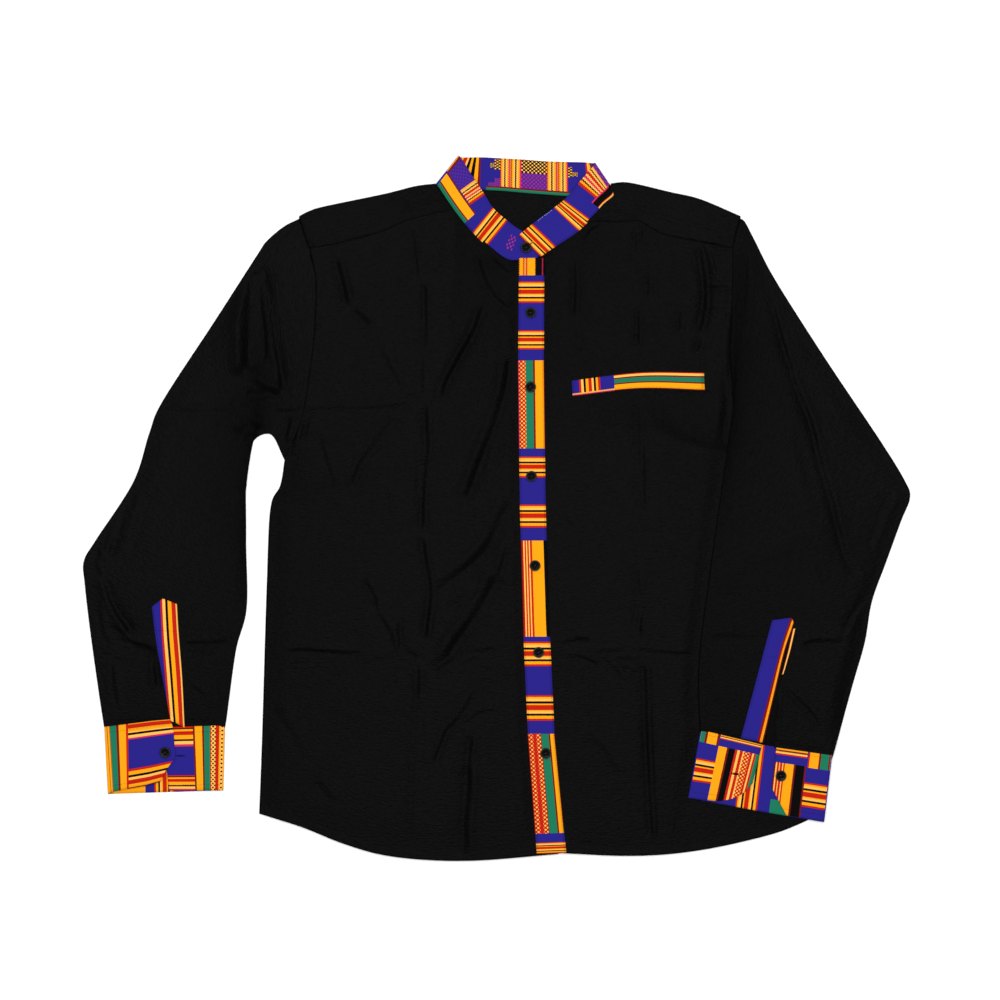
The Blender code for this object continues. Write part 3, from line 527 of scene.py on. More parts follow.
def front_height(x, y):
    """Middle of the fronts, the yoke's front strips and the armholes."""
    z = FRONT + slack(x, y, 0.55, 95, 31) + creased(FRONT_CREASES, x, y)
    z = np.maximum(z, EDGE)
    hem = y_at(HEM_RIGHT[:-1] + HEM_LEFT, x)
    z = HEM + (z - HEM) * (0.35 + 0.65 * smooth((y - hem) / HEM_SETTLE))
    for edge, top, outward in ((SIDE_RIGHT, 54, -1), (SIDE_LEFT, 52, 1)):
        inside = np.hypot(outward * (x_at(edge, y) - x), np.maximum(0, y - top))
        z = EDGE + (z - EDGE) * smooth((inside + 2) / SIDE_SETTLE)
    cover = under_sleeve(x, y)
    return z * (1 - cover) + np.minimum(z, TUCKED) * cover


def lapped(edge, x, y):
    """Rise of the cloth beside an armhole, where the seam's allowance lies under it."""
    return ALLOWANCE * (1 - smooth((near(edge, x, y)[0] - ALLOWANCE_WIDTH) / 2.5))


def front_right_height(x, y):
    """The under front sinks where the button strip lies on it."""
    into = smooth((x - x_at(PLACKET_RIGHT_EDGE, y) + 13) / 12)
    z = front_height(x, y) + lapped(ARM_RIGHT, x, y)
    return z * (1 - into) + UNDER_PLACKET * into


def front_left_height(x, y):
    """The over front rises to the button strip that it is sewn under."""
    away = smooth((x - x_at(PLACKET_LEFT_EDGE, y)) / 34)
    z = front_height(x, y) + lapped(ARM_LEFT_UPPER, x, y)
    return (PLACKET - TO_PLACKET) * (1 - away) + z * away


def hemmed(x, y, z):
    """A narrow hem turned up twice: thicker for 7 mm from the edge."""
    rise = y - y_at(HEM_RIGHT[:-1] + HEM_LEFT, x)
    return z + HEM_RISE * (1 - smooth((rise - HEM_DEPTH) / 1.6))


def front(name, height, *edges):
    """One front, from its four edges and the height of its cloth."""
    plan = patch(*edges, even(140), even(346))
    x, y = plan[..., 0], plan[..., 1]
    return poplin(name, grid_of(np.dstack([plan, hemmed(x, y, height(x, y))])))


top = joined((moved(spline(YOKE_SEAM_RIGHT), 0, UNDER_YOKE), 9), (spline(NECK_RIGHT), 9))
side = joined((spline(SIDE_RIGHT), 18), (moved(spline(ARM_RIGHT), -ARM_LAP, 0), 8))
front_right = front("front_right", front_right_height, spline(HEM_RIGHT), top, side,
                    spline(BUTTON_STAND))

UNDER_STRIP = 3       # how far the left front runs in under the button strip
top = joined((spline(NECK_LEFT), 4), (moved(spline(YOKE_SEAM_LEFT), 0, UNDER_YOKE), 14))
side = joined((spline(SIDE_LEFT), 18), (spline(ARM_LEFT_LOWER), 3),
              (moved(spline(ARM_LEFT_UPPER), ARM_LAP, 0), 5))
front_left = front("front_left", front_left_height, moved(spline(HEM_LEFT), -UNDER_STRIP, 0), top,
                   moved(spline(PLACKET_LEFT_EDGE), -UNDER_STRIP, 0), side)


# The yoke: one doubled piece over both shoulders. Its back part lies on the table, it folds over
# at the shoulders, and its front strips are lapped over the fronts and stitched down.
SHOULDER_SIDE_RIGHT = [(-211, 292), (-217, 309), (-222, 325)]
SHOULDER_SIDE_LEFT = [(264, 292), (267, 308), (272, 325)]
SHOULDER_RIGHT = [(-222, 325), (-210, 331), (-193, 336), (-126, 350), (-92, 358.5), (-68, 361.5)]
SHOULDER_LEFT = [(127, 361.5), (142, 363), (160, 360), (193, 352), (227, 344), (272, 325)]
BACK_NECK = [(-68, 361.5), (-12, 358.4), (26, 356.4), (70, 352.4), (108, 351.4),
             (120, 352.6), (127, 361.5)]
WING_RIGHT, NECK, WING_LEFT = 54, 30, 60      # columns of the grid over each stretch
BACK_ROWS = 24                                # rows of its part that lies on the table
LAP = 0.7             # lift of the yoke's turned edge over the fronts
OVER_FRONTS = 1.0     # how far that edge reaches past the seam line

edge = joined((spline(SHOULDER_RIGHT), WING_RIGHT), (spline(BACK_NECK), NECK),
              (spline(SHOULDER_LEFT), WING_LEFT))
arm_right = part_of(spline(ARM_RIGHT), BACK_SEAM_RIGHT, 1)
arm_left = part_of(spline(ARM_LEFT_UPPER), BACK_SEAM_LEFT, 1)
columns = WING_RIGHT + NECK + WING_LEFT
plate = patch(spline([arm_right(0.0), arm_left(0.0)]), edge,
              joined((arm_right, 2), (spline(SHOULDER_SIDE_RIGHT), 2)),
              joined((arm_left, 2), (spline(SHOULDER_SIDE_LEFT), 2)),
              even(columns), even(BACK_ROWS))
flat = FLAT + 0.15 * (1 + waves(plate[..., 0], plate[..., 1], 40))
rows = [np.column_stack(row) for row in zip(plate[..., 0], plate[..., 1], flat)]
radius = (FRONT - FLAT) / 2
for angle in np.radians([20, 45, 70, 90, 110, 135, 160]):
    out = plate[-1] + (0, radius * math.sin(angle))
    height = FLAT + radius * (1 - math.cos(angle))
    rows.append(np.column_stack([out, np.full(columns + 1, height)]))
neck_right = spline([YOKE_SEAM_RIGHT[-1], (-53, 342), SHOULDER_RIGHT[-1]])
neck_left = spline([YOKE_SEAM_LEFT[0], (112.5, 335.5), SHOULDER_LEFT[0]])
strip_right = patch(moved(spline(YOKE_SEAM_RIGHT), 0, -OVER_FRONTS), spline(SHOULDER_RIGHT),
                    spline(SHOULDER_SIDE_RIGHT), neck_right, even(WING_RIGHT), even(14))[::-1]
strip_left = patch(moved(spline(YOKE_SEAM_LEFT), 0, -OVER_FRONTS), spline(SHOULDER_LEFT),
                   neck_left, spline(SHOULDER_SIDE_LEFT), even(WING_LEFT), even(14))[::-1]
for number, (row_right, row_left) in enumerate(zip(strip_right, strip_left)):
    between = np.linspace(row_right[-1], row_left[0], NECK + 1)[1:-1]
    plan = np.vstack([row_right, between, row_left])
    settle = smooth(number / 4)
    height = FRONT * (1 - settle) + front_height(plan[:, 0], plan[:, 1]) * settle
    height += LAP * smooth((number - 7) / 4)
    rows.append(np.column_stack([plan, height]))
left_out = np.zeros((len(rows) - 1, columns), bool)
left_out[BACK_ROWS:, WING_RIGHT:WING_RIGHT + NECK] = True
yoke = poplin("yoke", grid_of(np.array(rows), left_out))


# The sleeves: each one piece of poplin rolled into a tube and pressed flat. The right one lies on
# the table, bent at the elbow, with a deep tuck at its armhole; the left one lies over the body.
ROLL = 1.2            # radius of the folded edges
PUFF = 2.8            # from the lower wall's middle up to the upper wall's
SLEEVE_LAP = 0.8      # how far a sleeve starts inside its armhole
IN_CUFF = 3           # how far it runs on into its cuff
TUCK_FROM = 0.972     # share of its length from which it is pressed flat for the cuff
RISE_OVER = 22        # its upper wall rises over this much from a rolled edge
SETTLE_OVER = 50      # and its waves die out over this much towards the cuff
PRESS_RIGHT, PRESS_LEFT = 1.15, 1.2      # how far it is pressed down in the cuff
RIGHT_CUFF = -240     # where the right one goes into its cuff
ON_BODY = TUCKED + 1.6    # height of the left sleeve's lower wall where it lies on the front
OUTER_RIGHT = [(-223, 325), (-241, 316), (-260, 300), (-271, 284), (-318, 211), (-376, 122),
               (-391, 86), (-409, 31), (-451, -34), (-464, -57), (-463, -82), (-455, -147),
               (-441, -240), (-437, -245)]
INNER_RIGHT = [(-240, 53), (-257, 83), (-281, 62), (-283, -30), (-282, -109), (-294, -158),
               (-305, -239), (-309, -244)]
OUTER_LEFT = [(273, 325), (279, 321), (290, 300), (313, 256), (369, 168), (430, 77), (457, 33),
              (463, 14), (453, -12), (436, -58), (420, -102), (412, -147), (399, -192),
              (376, -272), (372, -276)]
END_RIGHT = [(-437, -245), (-404, -243), (-368, -244), (-350, -245), (-309, -244)]
END_LEFT = [(372, -276), (316, -266), (309, -260.5), (296, -259.5), (275, -261),
            (230, -248)]
RIGHT_CREASES = [
    ([(-290, 281), (-291, 234), (-292, 189), (-292, 146)], -4.6, 7, 0),
    ([(-249, 267), (-245, 234), (-238, 189), (-232, 144)], -2.3, 5, 0),
    ([(-290, 130), (-291, 105), (-290, 81)], -4.1, 6, 0),
    ([(-274, 272), (-276, 234), (-277, 189), (-277, 151)], 5.2, 6, -2.5),
    ([(-267, 272), (-265, 234), (-264, 194), (-264, 160)], 4.2, 4.6, 1.4),
    ([(-265, 278), (-259, 250), (-254, 222), (-248, 189), (-242, 155),
      (-240, 126)], 3.8, 3.2, -1.6),
    ([(-282, 145), (-268, 136), (-255, 129), (-239, 123)], 4.6, 4.6, 3.6),
    ([(-284, 128), (-270, 126), (-257, 124)], 4.1, 5, 0.9),
    ([(-282, 111), (-260, 116), (-239, 119)], 1.7, 2.3, 0.9),
    ([(-372, 109), (-333, 108), (-283, 110)], 1.4, 2.3, 0.7),
    ([(-283, 99), (-273, 90), (-264, 83), (-255, 76)], 4.6, 5, 3.6),
    ([(-285, 81), (-275, 77), (-264, 72)], 4.1, 5, 0.9),
    ([(-257, 109), (-239, 108), (-221, 109)], 2.2, 2.3, 0.9),
    ([(-231, 106), (-236, 90), (-241, 73)], 2.6, 2.6, 1.6),
    ([(-410, 24), (-415, 10), (-423, -18), (-430, -41), (-435, -58)], 2.8, 3, -1.6),
    ([(-389, 21), (-396, 1), (-404, -26), (-414, -58)], 1.2, 4.4, -0.7),
    ([(-447, -30), (-449, -46), (-447, -61)], 2.5, 2.3, 1.1),
    ([(-455, -58), (-449, -71), (-442, -78)], 2.2, 2.3, 1.1),
    ([(-443, -74), (-436, -89), (-432, -102), (-425, -116), (-415, -130),
      (-407, -143)], 3.3, 3, -2),
    ([(-449, -102), (-447, -125), (-443, -142), (-432, -156)], 1.3, 3, 0.7),
    ([(-441, -130), (-425, -138), (-412, -145)], 1.4, 2.6, 0.7),
    ([(-432, -146), (-412, -151), (-395, -156), (-380, -160)], 3.2, 3.2, 1.6),
    ([(-416, -152), (-398, -160), (-380, -163)], 3.2, 3.6, 0.7),
    ([(-450, -165), (-434, -164), (-417, -161), (-400, -160)], 2, 2.3, 0.7),
    ([(-436, -171), (-406, -170)], 1.6, 2.6, 0.7),
    ([(-384, -164), (-381, -186), (-379, -206)], 3.5, 2.8, -1.4),
    ([(-354, -153), (-333, -152), (-311, -151), (-298, -145)], 3, 2.6, 1.4),
    ([(-352, -161), (-316, -163)], 1.4, 2.6, 0.5),
    ([(-304, -147), (-303, -162)], 1.9, 2.2, 0.7),
    ([(-347, -197), (-335, -206), (-324, -214)], 1.3, 2.4, 0.5),
    ([(-312, -181), (-314, -214), (-316, -236)], 1.3, 2.4, 0.5),
    ([(-434, -170), (-430, -203), (-425, -236)], 1.2, 2.4, 0.5),
    ([(-293, 34), (-292, 14)], 1, 2.3, 0.5),
]
LEFT_CREASES = [
    ([(296, 276), (303, 245), (319, 183), (332, 142)], 3, 3, 0.5),
    ([(326, 153), (339, 122), (350, 94), (358, 60), (369, 21),
      (381, -24), (390, -55), (404, -77)], 3.3, 2.8, 0.9),
    ([(333, 99), (347, 43), (363, -13)], 1, 7, -0.5),
    ([(277, 290), (275, 245), (272, 211), (269, 178), (268, 138)], 3.5, 4.6, 1.4),
    ([(447, 24), (435, 4), (424, -24), (415, -49)], 1.6, 3, 0.9),
    ([(421, -91), (408, -106), (398, -119), (387, -141)], 2.3, 2.6, 1.3),
    ([(404, -153), (395, -203)], 0.9, 4, 0.5),
    ([(232, -146), (260, -145), (296, -147)], 1.4, 3.4, 0.7),
    ([(337, -156), (356, -150), (384, -151), (391, -147)], 2.6, 2.8, 1.4),
    ([(320, -199), (335, -214), (350, -229), (359, -245), (366, -269)], 2.3, 2.3, 1.1),
    ([(311, -209), (312, -268)], 2.9, 2.2, 0.9),
    ([(229, -234), (240, -220), (253, -213)], 2, 2.3, 0.9),
]


def over_body(x, y, past=44, drop=26):
    """1 where the left sleeve lies on the body, 0 on the table, from past the side seam down."""
    edge = x_at(SIDE_LEFT + [(320, 84), (290, 112), (264, 140)], y)
    return smooth((edge + past - x) / drop) * smooth((200 - y) / 46)


def tube(name, plan, low, high):
    """A flattened sleeve: upper wall, rolled edge, lower wall, rolled edge."""
    across = plan[:, -1] - plan[:, 0]
    inward = (across / np.linalg.norm(across, axis=1)[:, None])[:, None]
    inset = plan.copy()
    near_edge = np.minimum(np.linalg.norm(plan - plan[:, :1], axis=2),
                           np.linalg.norm(plan - plan[:, -1:], axis=2))
    u = even(plan.shape[1] - 1)[None, :, None]
    inset += inward * ROLL * (1 - 2 * u)
    x, y = inset[..., 0], inset[..., 1]
    lower, upper = low(x, y), high(x, y)
    tucked = smooth((even(plan.shape[0] - 1)[:, None] - TUCK_FROM) / 0.012)
    gap = 2 * ROLL * (1 - tucked) + (COTTON + 0.2) * tucked
    upper = lower + gap + (upper - lower - gap) * smooth(near_edge / RISE_OVER)
    upper = np.maximum(upper, lower + COTTON + 0.15)
    rolled = []
    for edge, sign in ((0, 1), (-1, -1)):
        middle = (upper[:, edge] + lower[:, edge]) / 2
        half = (upper[:, edge] - lower[:, edge]) / 2
        turn = []
        for angle in np.radians([-60, -30, 0, 30, 60]):
            spot = plan[:, edge] + sign * inward[:, 0] * ROLL * (1 - math.cos(angle))
            turn.append(np.column_stack([spot, middle + half * math.sin(angle)]))
        rolled.append(np.stack(turn, 1))
    upper, lower = np.dstack([inset, upper]), np.dstack([inset, lower])
    ring = np.concatenate([rolled[0], upper, rolled[1][:, ::-1], lower[:, ::-1],
                           rolled[0][:, :1]], axis=1)
    return poplin(name, grid_of(ring))


def backwards(curve):
    return lambda s: curve(1 - np.asarray(s, float))


def sleeve_plan(shoulder, arm, rows, inward, *edges):
    """A pressed sleeve seen from above: its seam at the armhole, then its end and two sides."""
    start = joined((backwards(spline(shoulder)), 2), (backwards(spline(arm)), rows))
    end, outer, inner = (spline(edge) for edge in edges)
    return patch(moved(start, inward, 0), moved(end, 0, -IN_CUFF), outer, inner,
                 even(86), even(246))


CUFF_STEP = 0.9       # rise of the lower wall onto the cuff's lower layer
SWELL = 1.2           # how far the sleeves' upper walls stand up between their rolled edges


def right_low(x, y):
    return FLAT + CUFF_STEP * smooth((RIGHT_CUFF + 4 - y) / 6)


def right_high(x, y):
    loose = SWELL + slack(x, y, 0.5, 80, 29) + creased(RIGHT_CREASES, x, y)
    pressed = PRESS_RIGHT * smooth((RIGHT_CUFF + 6 - y) / 7)
    return FLAT + PUFF + loose * smooth((y - RIGHT_CUFF) / SETTLE_OVER) - pressed


plan = sleeve_plan(SHOULDER_SIDE_RIGHT, ARM_RIGHT, 8, SLEEVE_LAP, END_RIGHT, OUTER_RIGHT,
                   INNER_RIGHT)
sleeve_right = tube("sleeve_right", plan, right_low, right_high)


def left_low(x, y):
    into_cuff = smooth((y_at(END_LEFT, x) + 8 - y) / 6)
    return FLAT + (ON_BODY - FLAT) * over_body(x, y) + into_cuff


def left_high(x, y):
    base = FLAT + (ON_BODY - FLAT) * over_body(x, y, 110, 96)
    end = y_at(END_LEFT, x)
    loose = SWELL + slack(x, y, 0.5, 85, 33) + creased(LEFT_CREASES, x, y)
    pressed = PRESS_LEFT * smooth((end + 9 - y) / 7)
    return base + PUFF + loose * smooth((y - end) / SETTLE_OVER) - pressed


plan = sleeve_plan(SHOULDER_SIDE_LEFT, ARM_LEFT_UPPER, 5, -SLEEVE_LAP, END_LEFT, OUTER_LEFT,
                   INNER_LEFT)
sleeve_left = tube("sleeve_left", plan, left_low, left_high)


# Woven striped cloth for the trims: cotton of many dyed threads in the manner of Ghanaian strip
# weaving. Blocks of crosswise weft stripes and plain blue take turns with blocks of long stripes.
# Each finish is one block, drawn across 0 to 1 of the block's own UV and along it in millimetres.
THREADS = {"blue": "261F80", "orange": "F59F10", "cream": "F7B856", "red": "BC1D10",
           "green": "1A7455", "purple": "4A2388", "plum": "9A2C74", "pink": "CC2650",
           "wine": "6E1216", "black": "040404"}
CELL = 2.3            # side of a woven check: its dots repeat every 4 to 5 mm in the real cloth
DOT_FROM = 0.22       # a dot fills its check where its wave is over this
ZIGZAG = 1.3          # half the length of a zigzag
RAGGED = 0.022        # share of a block's width that the edge of a stripe strays by
STRIP_WALL = 1.0      # of the cloth laid double
blocks = {}


def woven_block(name, stripes, wobble=0.0, depth=28.0):
    """Stripes across the block, each as its width and thread, and after a stroke the thread of
    its checks. depth is the width of the block in mm, which sets the checks' rows."""
    stripes = [stripe.split() for stripe in stripes.split(", ")]
    widths = [float(width) for width, threads in stripes]
    threads = [threads.split("/") for width, threads in stripes]
    made, tree, shader = new_finish(name, Roughness=0.8, Specular_IOR_Level=0.05,
                                    Sheen_Weight=0.02)
    uv, fibre, relief = woven_relief(tree, 1.1, 0.16)
    chart = node(tree, "SeparateXYZ", {0: node(tree, "UVMap", {}, uv_map="chart")["UV"]})
    along, across = chart["X"], chart["Y"]
    rag = node(tree, "TexNoise", {"Vector": uv, "Scale": 0.9, "Detail": 2.0})["Fac"]
    place = node(tree, "Math", {0: rag, 1: RAGGED, 2: across}, operation="MULTIPLY_ADD")["Value"]
    place = node(tree, "Math", {0: place, 1: RAGGED / 2}, operation="SUBTRACT")["Value"]
    if wobble:
        zigzag = node(tree, "Math", {0: along, 1: ZIGZAG}, operation="PINGPONG")["Value"]
        place = node(tree, "Math", {0: zigzag, 1: wobble, 2: place},
                     operation="MULTIPLY_ADD")["Value"]

    def ramp(which):
        out = node(tree, "ValToRGB", {"Fac": place})["Color"]
        bands = tree.nodes[-1].color_ramp
        bands.interpolation = "CONSTANT"
        bands.elements.remove(bands.elements[1])
        for number, thread in enumerate(threads):
            at = sum(widths[:number]) / sum(widths)
            step = bands.elements.new(at) if number else bands.elements[0]
            step.color = linear(THREADS[thread[which]])
        return out

    colour = ramp(0)
    if any(len(thread) > 1 for thread in threads):
        rows = []
        for distance, mm in ((across, depth), (along, 1)):
            turns = node(tree, "Math", {0: distance, 1: math.pi * mm / CELL},
                         operation="MULTIPLY")["Value"]
            rows.append(node(tree, "Math", {0: turns}, operation="SINE")["Value"])
        dots = node(tree, "Math", {0: rows[0], 1: rows[1]}, operation="MULTIPLY")["Value"]
        dots = node(tree, "Math", {0: dots, 1: DOT_FROM}, operation="GREATER_THAN")["Value"]
        checked = ramp(-1)
        colour = node(tree, "Mix", {0: dots, 6: colour, 7: checked}, data_type="RGBA")[2]
    faded = node(tree, "MapRange", {"Value": fibre, "From Min": 0.3, "From Max": 0.7,
                                    "To Min": 0.84, "To Max": 1.04})["Result"]
    colour = node(tree, "Mix", {0: 1.0, 6: colour, 7: faded}, data_type="RGBA",
                  blend_type="MULTIPLY")[2]
    tree.links.new(colour, shader["Base Color"])
    tree.links.new(relief, shader["Normal"])
    blocks[name] = made


woven_block("plain_blue", "1 blue")
woven_block("weft_stripes",
            "1.5 red, 1.6 orange, 2.3 cream, 2 black, 1.4 orange, 4.4 red, 1.2 orange, "
            "1.9 cream, 2 black, 2.7 orange, 1.8 red")
woven_block("warp_green", "0.9 pink, 6.8 red/cream, 7.6 green, 2 wine, 8.8 orange, 0.7 red")
woven_block("warp_dotted",
            "0.8 red, 4.4 red/cream, 3.4 red, 4.4 red/cream, 0.8 wine, 7.6 green, 1.7 wine, "
            "4 orange, 0.8 wine")
woven_block("warp_fine",
            "0.8 wine, 1.3 red, 1.2 cream, 1.3 red, 1.1 cream, 1.4 red, 1.2 cream, 1.8 red, "
            "10.6 orange, 3.2 black")
woven_block("patched",
            "1.2 wine, 4 orange, 1.6 red, 1 cream, 1.8 red, 8.5 orange, 7.6 black, 0.7 pink, "
            "0.9 black", wobble=0.04)


def strip(name, surface, us, vs, chart, wall=STRIP_WALL, drawn=np.meshgrid):
    """A strip of woven cloth. surface(us, vs) gives its points in mm. Chart rows are blocks
    (from v, to v, from u, to u, finish, turned); a later one covers an earlier one. drawn gives
    the place on the chart of each u and v where that differs from the place on the strip."""
    cuts_v = sorted({v for row in chart for v in row[:2] if vs[0] <= v <= vs[1]} | set(vs[:2]))
    cuts_u = sorted({u for row in chart for u in row[2:4]} | {0.0, 1.0})

    def filled(cuts, step):
        out = [cuts[0]]
        for a, b in zip(cuts, cuts[1:]):
            out.extend(np.linspace(a, b, max(1, math.ceil((b - a) / step)) + 1)[1:])
        return np.array(out)

    v, u = filled(cuts_v, vs[2]), filled(cuts_u, us)
    points = surface(u, v)
    seen_u, seen_v = drawn(u, v)
    bm = grid_of(points)
    names = sorted({row[4] for row in chart})
    local = bm.loops.layers.uv.new("chart")
    across, along = lengths(points, 1), lengths(points, 0)
    for number, face in enumerate(bm.faces):
        row, column = divmod(number, len(u) - 1)
        middle_v = np.clip(seen_v[row:row + 2, column:column + 2].mean(), vs[0], vs[1])
        middle_u = np.clip(seen_u[row:row + 2, column:column + 2].mean(), 0, 1)
        block = [b for b in chart if min(b[:2]) <= middle_v <= max(b[:2])
                 and b[2] <= middle_u <= b[3]][-1]
        face.material_index = names.index(block[4])
        for loop in face.loops:
            r, c = divmod(loop.vert.index, len(u))
            part_v = (seen_v[r, c] - block[0]) / (block[1] - block[0])
            part_u = (seen_u[r, c] - block[2]) / (block[3] - block[2])
            loop[local].uv = (along[r], part_u) if block[5] else (across[c], part_v)
    return cloth(name, bm, [blocks[n] for n in names], wall)


# The button strip down the left front: a doubled strip of woven cloth, edge-stitched to it.
# Its blocks are cut as they come off the loom, so they run down it in no set order.
PLACKET_TOP, PLACKET_LENGTH = 280.5, 667.0
LENGTHWISE = {"patched", "warp_green", "warp_dotted", "warp_fine"}
placket_chart, at = [], 0.0
for length, block in ((19.5, "patched"), (6.7, "plain_blue"), (24.1, "weft_stripes"),
                      (30.8, "plain_blue"), (21.3, "weft_stripes"), (12.3, "plain_blue"),
                      (98.6, "warp_green"), (9, "plain_blue"), (23.5, "weft_stripes"),
                      (30.2, "plain_blue"), (25.8, "weft_stripes"), (14.6, "plain_blue"),
                      (107.5, "warp_fine"), (5.6, "plain_blue"), (27.4, "weft_stripes"),
                      (32.5, "plain_blue"), (28.6, "weft_stripes"), (14.6, "plain_blue"),
                      (112, "warp_dotted"), (10.1, "plain_blue"), (12.3, "weft_stripes")):
    placket_chart.append((at, at + length, 0.0, 1.0, block, block in LENGTHWISE))
    at += length


def placket_surface(u, v):
    """Both edges at the same height, so that the weft runs straight across."""
    y = PLACKET_TOP - v / PLACKET_LENGTH * (PLACKET_TOP + 386.6)
    a, b = x_at(PLACKET_RIGHT_EDGE, y), x_at(PLACKET_LEFT_EDGE, y)
    x = a[:, None] * (1 - u) + b[:, None] * u
    y = np.repeat(y[:, None], len(u), axis=1) + 1.2 * u * smooth((y[:, None] + 250) / -136)
    z = PLACKET + 0.18 * waves(x, y, 45) + 0.12 * np.sin(y / 9.0)
    return np.dstack([x, y, z])


front_placket = strip("front_placket", placket_surface, 0.12, (0.0, PLACKET_LENGTH, 3.0),
                      placket_chart)


# The collar: a stand-up band of doubled woven cloth laid open round the neck, its right end under
# and its left end on top. It folds over at both sides of the neck, where its inner face turns up.
def loft(lines, rounded=True):
    """Strip surface through cross lines (seam x, y, z, free edge x, y, z); v counts the lines."""
    table = np.array(lines, float)
    steps = np.diff(table, axis=0)
    a, b = steps[:-1], steps[1:]
    bends = np.where(a * b > 0, 2 * a * b / np.where(a + b == 0, 1, a + b), 0)
    slopes = np.vstack([steps[:1], bends, steps[-1:]])

    def surface(u, v):
        i = np.clip(np.floor(v).astype(int), 0, len(table) - 2)
        t = (v - i)[:, None]
        row = straight = table[i] + steps[i] * t
        if rounded:
            start, end = slopes[i], slopes[i + 1]
            row = (table[i] + start * t + (3 * steps[i] - 2 * start - end) * t ** 2
                   + (start + end - 2 * steps[i]) * t ** 3)
            row[:, [2, 5]] = straight[:, [2, 5]]
        u = u[None, :, None]
        return row[:, None, :3] * (1 - u) + row[:, None, 3:] * u

    return surface


woven_block("wobble_stripes",
            "1 red, 1.3 orange, 1.3 cream, 1.2 black, 1.3 cream, 1.3 orange, 1 pink", wobble=0.06)
woven_block("wobble_wefts",
            "1.2 orange, 1 cream, 0.9 black, 1 cream, 1.6 red, 0.9 cream, 1.3 pink, 1 cream, "
            "0.9 black, 1.2 orange, 1.5 red", wobble=0.035)
woven_block("hatched", "1 purple/plum", depth=20)
woven_block("hatched_blue", "1 purple/blue", depth=20)
woven_block("checked", "1 black/cream", depth=17)
woven_block("blue_dotted", "1 blue/plum", depth=14)
woven_block("edge_orange", "3.6 green, 1.6 wine, 9.5 orange, 1.6 wine")
woven_block("edge_green", "2.6 green, 1.6 wine")
woven_block("fold_bands", "1.2 red, 1.2 cream, 1.2 orange, 1.4 wine")
woven_block("side_stripes",
            "1.6 cream, 1.5 black, 2.4 orange, 2.6 red, 1.2 cream, 1.5 black, 1.3 orange, "
            "1.6 black, 1.8 orange, 1.6 wine")
woven_block("black_edge", "1.6 cream, 0.8 red, 7.5 black, 1.6 pink")

# Heights of its under end, its sides, its upper end and its back, which lies on the table
LOW, MID, HIGH, FLOOR = 3.8, 5.9, 6.6, 0.55
collar_lines = [
    (44.0, 279.0, LOW, 58.0, 303.0, LOW), (15.5, 278.0, LOW, 27.4, 311.2, LOW),
    (-11.8, 293.7, 4.7, 11.1, 322.4, 4.7), (-28.0, 309.2, MID, -5.3, 337.0, MID),
    (-44.8, 329.3, MID, -14.0, 351.1, MID), (-56.2, 345.3, MID, -25.2, 367.9, MID),
    (-67.5, 362.1, 5.7, -42.4, 394.4, 5.7), (-68.9, 363.0, 3.2, -43.6, 395.0, 3.2),
    (-67.1, 360.8, FLOOR, -41.6, 393.5, FLOOR), (-19.6, 357.4, FLOOR, -18.5, 393.7, FLOOR),
    (3.2, 356.3, FLOOR, 3.5, 392.6, FLOOR), (26.3, 354.3, FLOOR, 26.9, 391.4, FLOOR),
    (55.4, 352.0, FLOOR, 55.4, 389.2, FLOOR), (79.0, 350.4, FLOOR, 78.7, 388.5, FLOOR),
    (99.1, 350.0, FLOOR, 96.9, 388.1, FLOOR), (125.3, 354.5, FLOOR, 107.0, 387.0, FLOOR),
    (129.9, 356.0, 3.2, 108.8, 387.4, 3.2), (129.8, 351.1, 5.7, 107.6, 384.2, 5.7),
    (118.2, 340.5, MID, 89.7, 363.4, MID), (104.0, 323.6, 6.0, 74.5, 345.5, 6.0),
    (90.8, 310.4, 6.2, 63.1, 336.6, 6.2), (65.5, 293.3, HIGH, 39.3, 318.6, HIGH),
    (48.3, 281.7, HIGH, 23.9, 306.1, HIGH),
]
collar_chart = [
    (0, 22, 0, 1, "plain_blue", False),
    (1.12, 1.42, 0.3, 0.75, "blue_dotted", True),
    (3, 2, 0, 1, "weft_stripes", False),
    (3.5, 5.93, 0, 0.45, "edge_orange", True),
    (5, 4.02, 0.47, 1, "wobble_wefts", False),
    (5, 5.8, 0.47, 1, "hatched_blue", True),
    (6.6, 5.8, 0.47, 1, "fold_bands", False),
    (8, 9, 0, 1, "side_stripes", False),
    (9.45, 9.7, 0.7, 0.84, "checked", True),
    (9.7, 10, 0.65, 0.97, "checked", True),
    (9.35, 9.7, 0.13, 0.24, "hatched", True),
    (9.7, 10, 0.13, 0.38, "hatched", True),
    (10, 10.47, 0, 1, "wobble_stripes", False),
    (10.47, 10.53, 0, 1, "side_stripes", False),
    (10.53, 11, 0, 1, "wobble_stripes", False),
    (11, 12, 0.08, 0.6, "hatched", True),
    (11, 12, 0.6, 1, "checked", True),
    (12, 12.47, 0, 1, "wobble_stripes", False),
    (12.47, 12.53, 0, 1, "side_stripes", False),
    (12.53, 13, 0, 1, "wobble_stripes", False),
    (13, 13.25, 0.55, 0.85, "checked", True),
    (13.25, 13.55, 0.58, 0.7, "checked", True),
    (14.1, 14.6, 0.5, 1, "fold_bands", False),
    (9.25, 13.3, 0, 0.13, "edge_green", True),
    (16.2, 17.15, 0.28, 1, "hatched", True),
    (17.15, 18, 0.28, 1, "wobble_wefts", False),
    (16.0, 18.3, 0, 0.3, "black_edge", True),
    (20, 19, 0, 1, "weft_stripes", False),
    (22, 21, 0, 1, "weft_stripes", False),
]
collar_surface = loft(collar_lines)
collar = strip("collar", collar_surface, 0.09, (0.0, 22.0, 0.1), collar_chart)


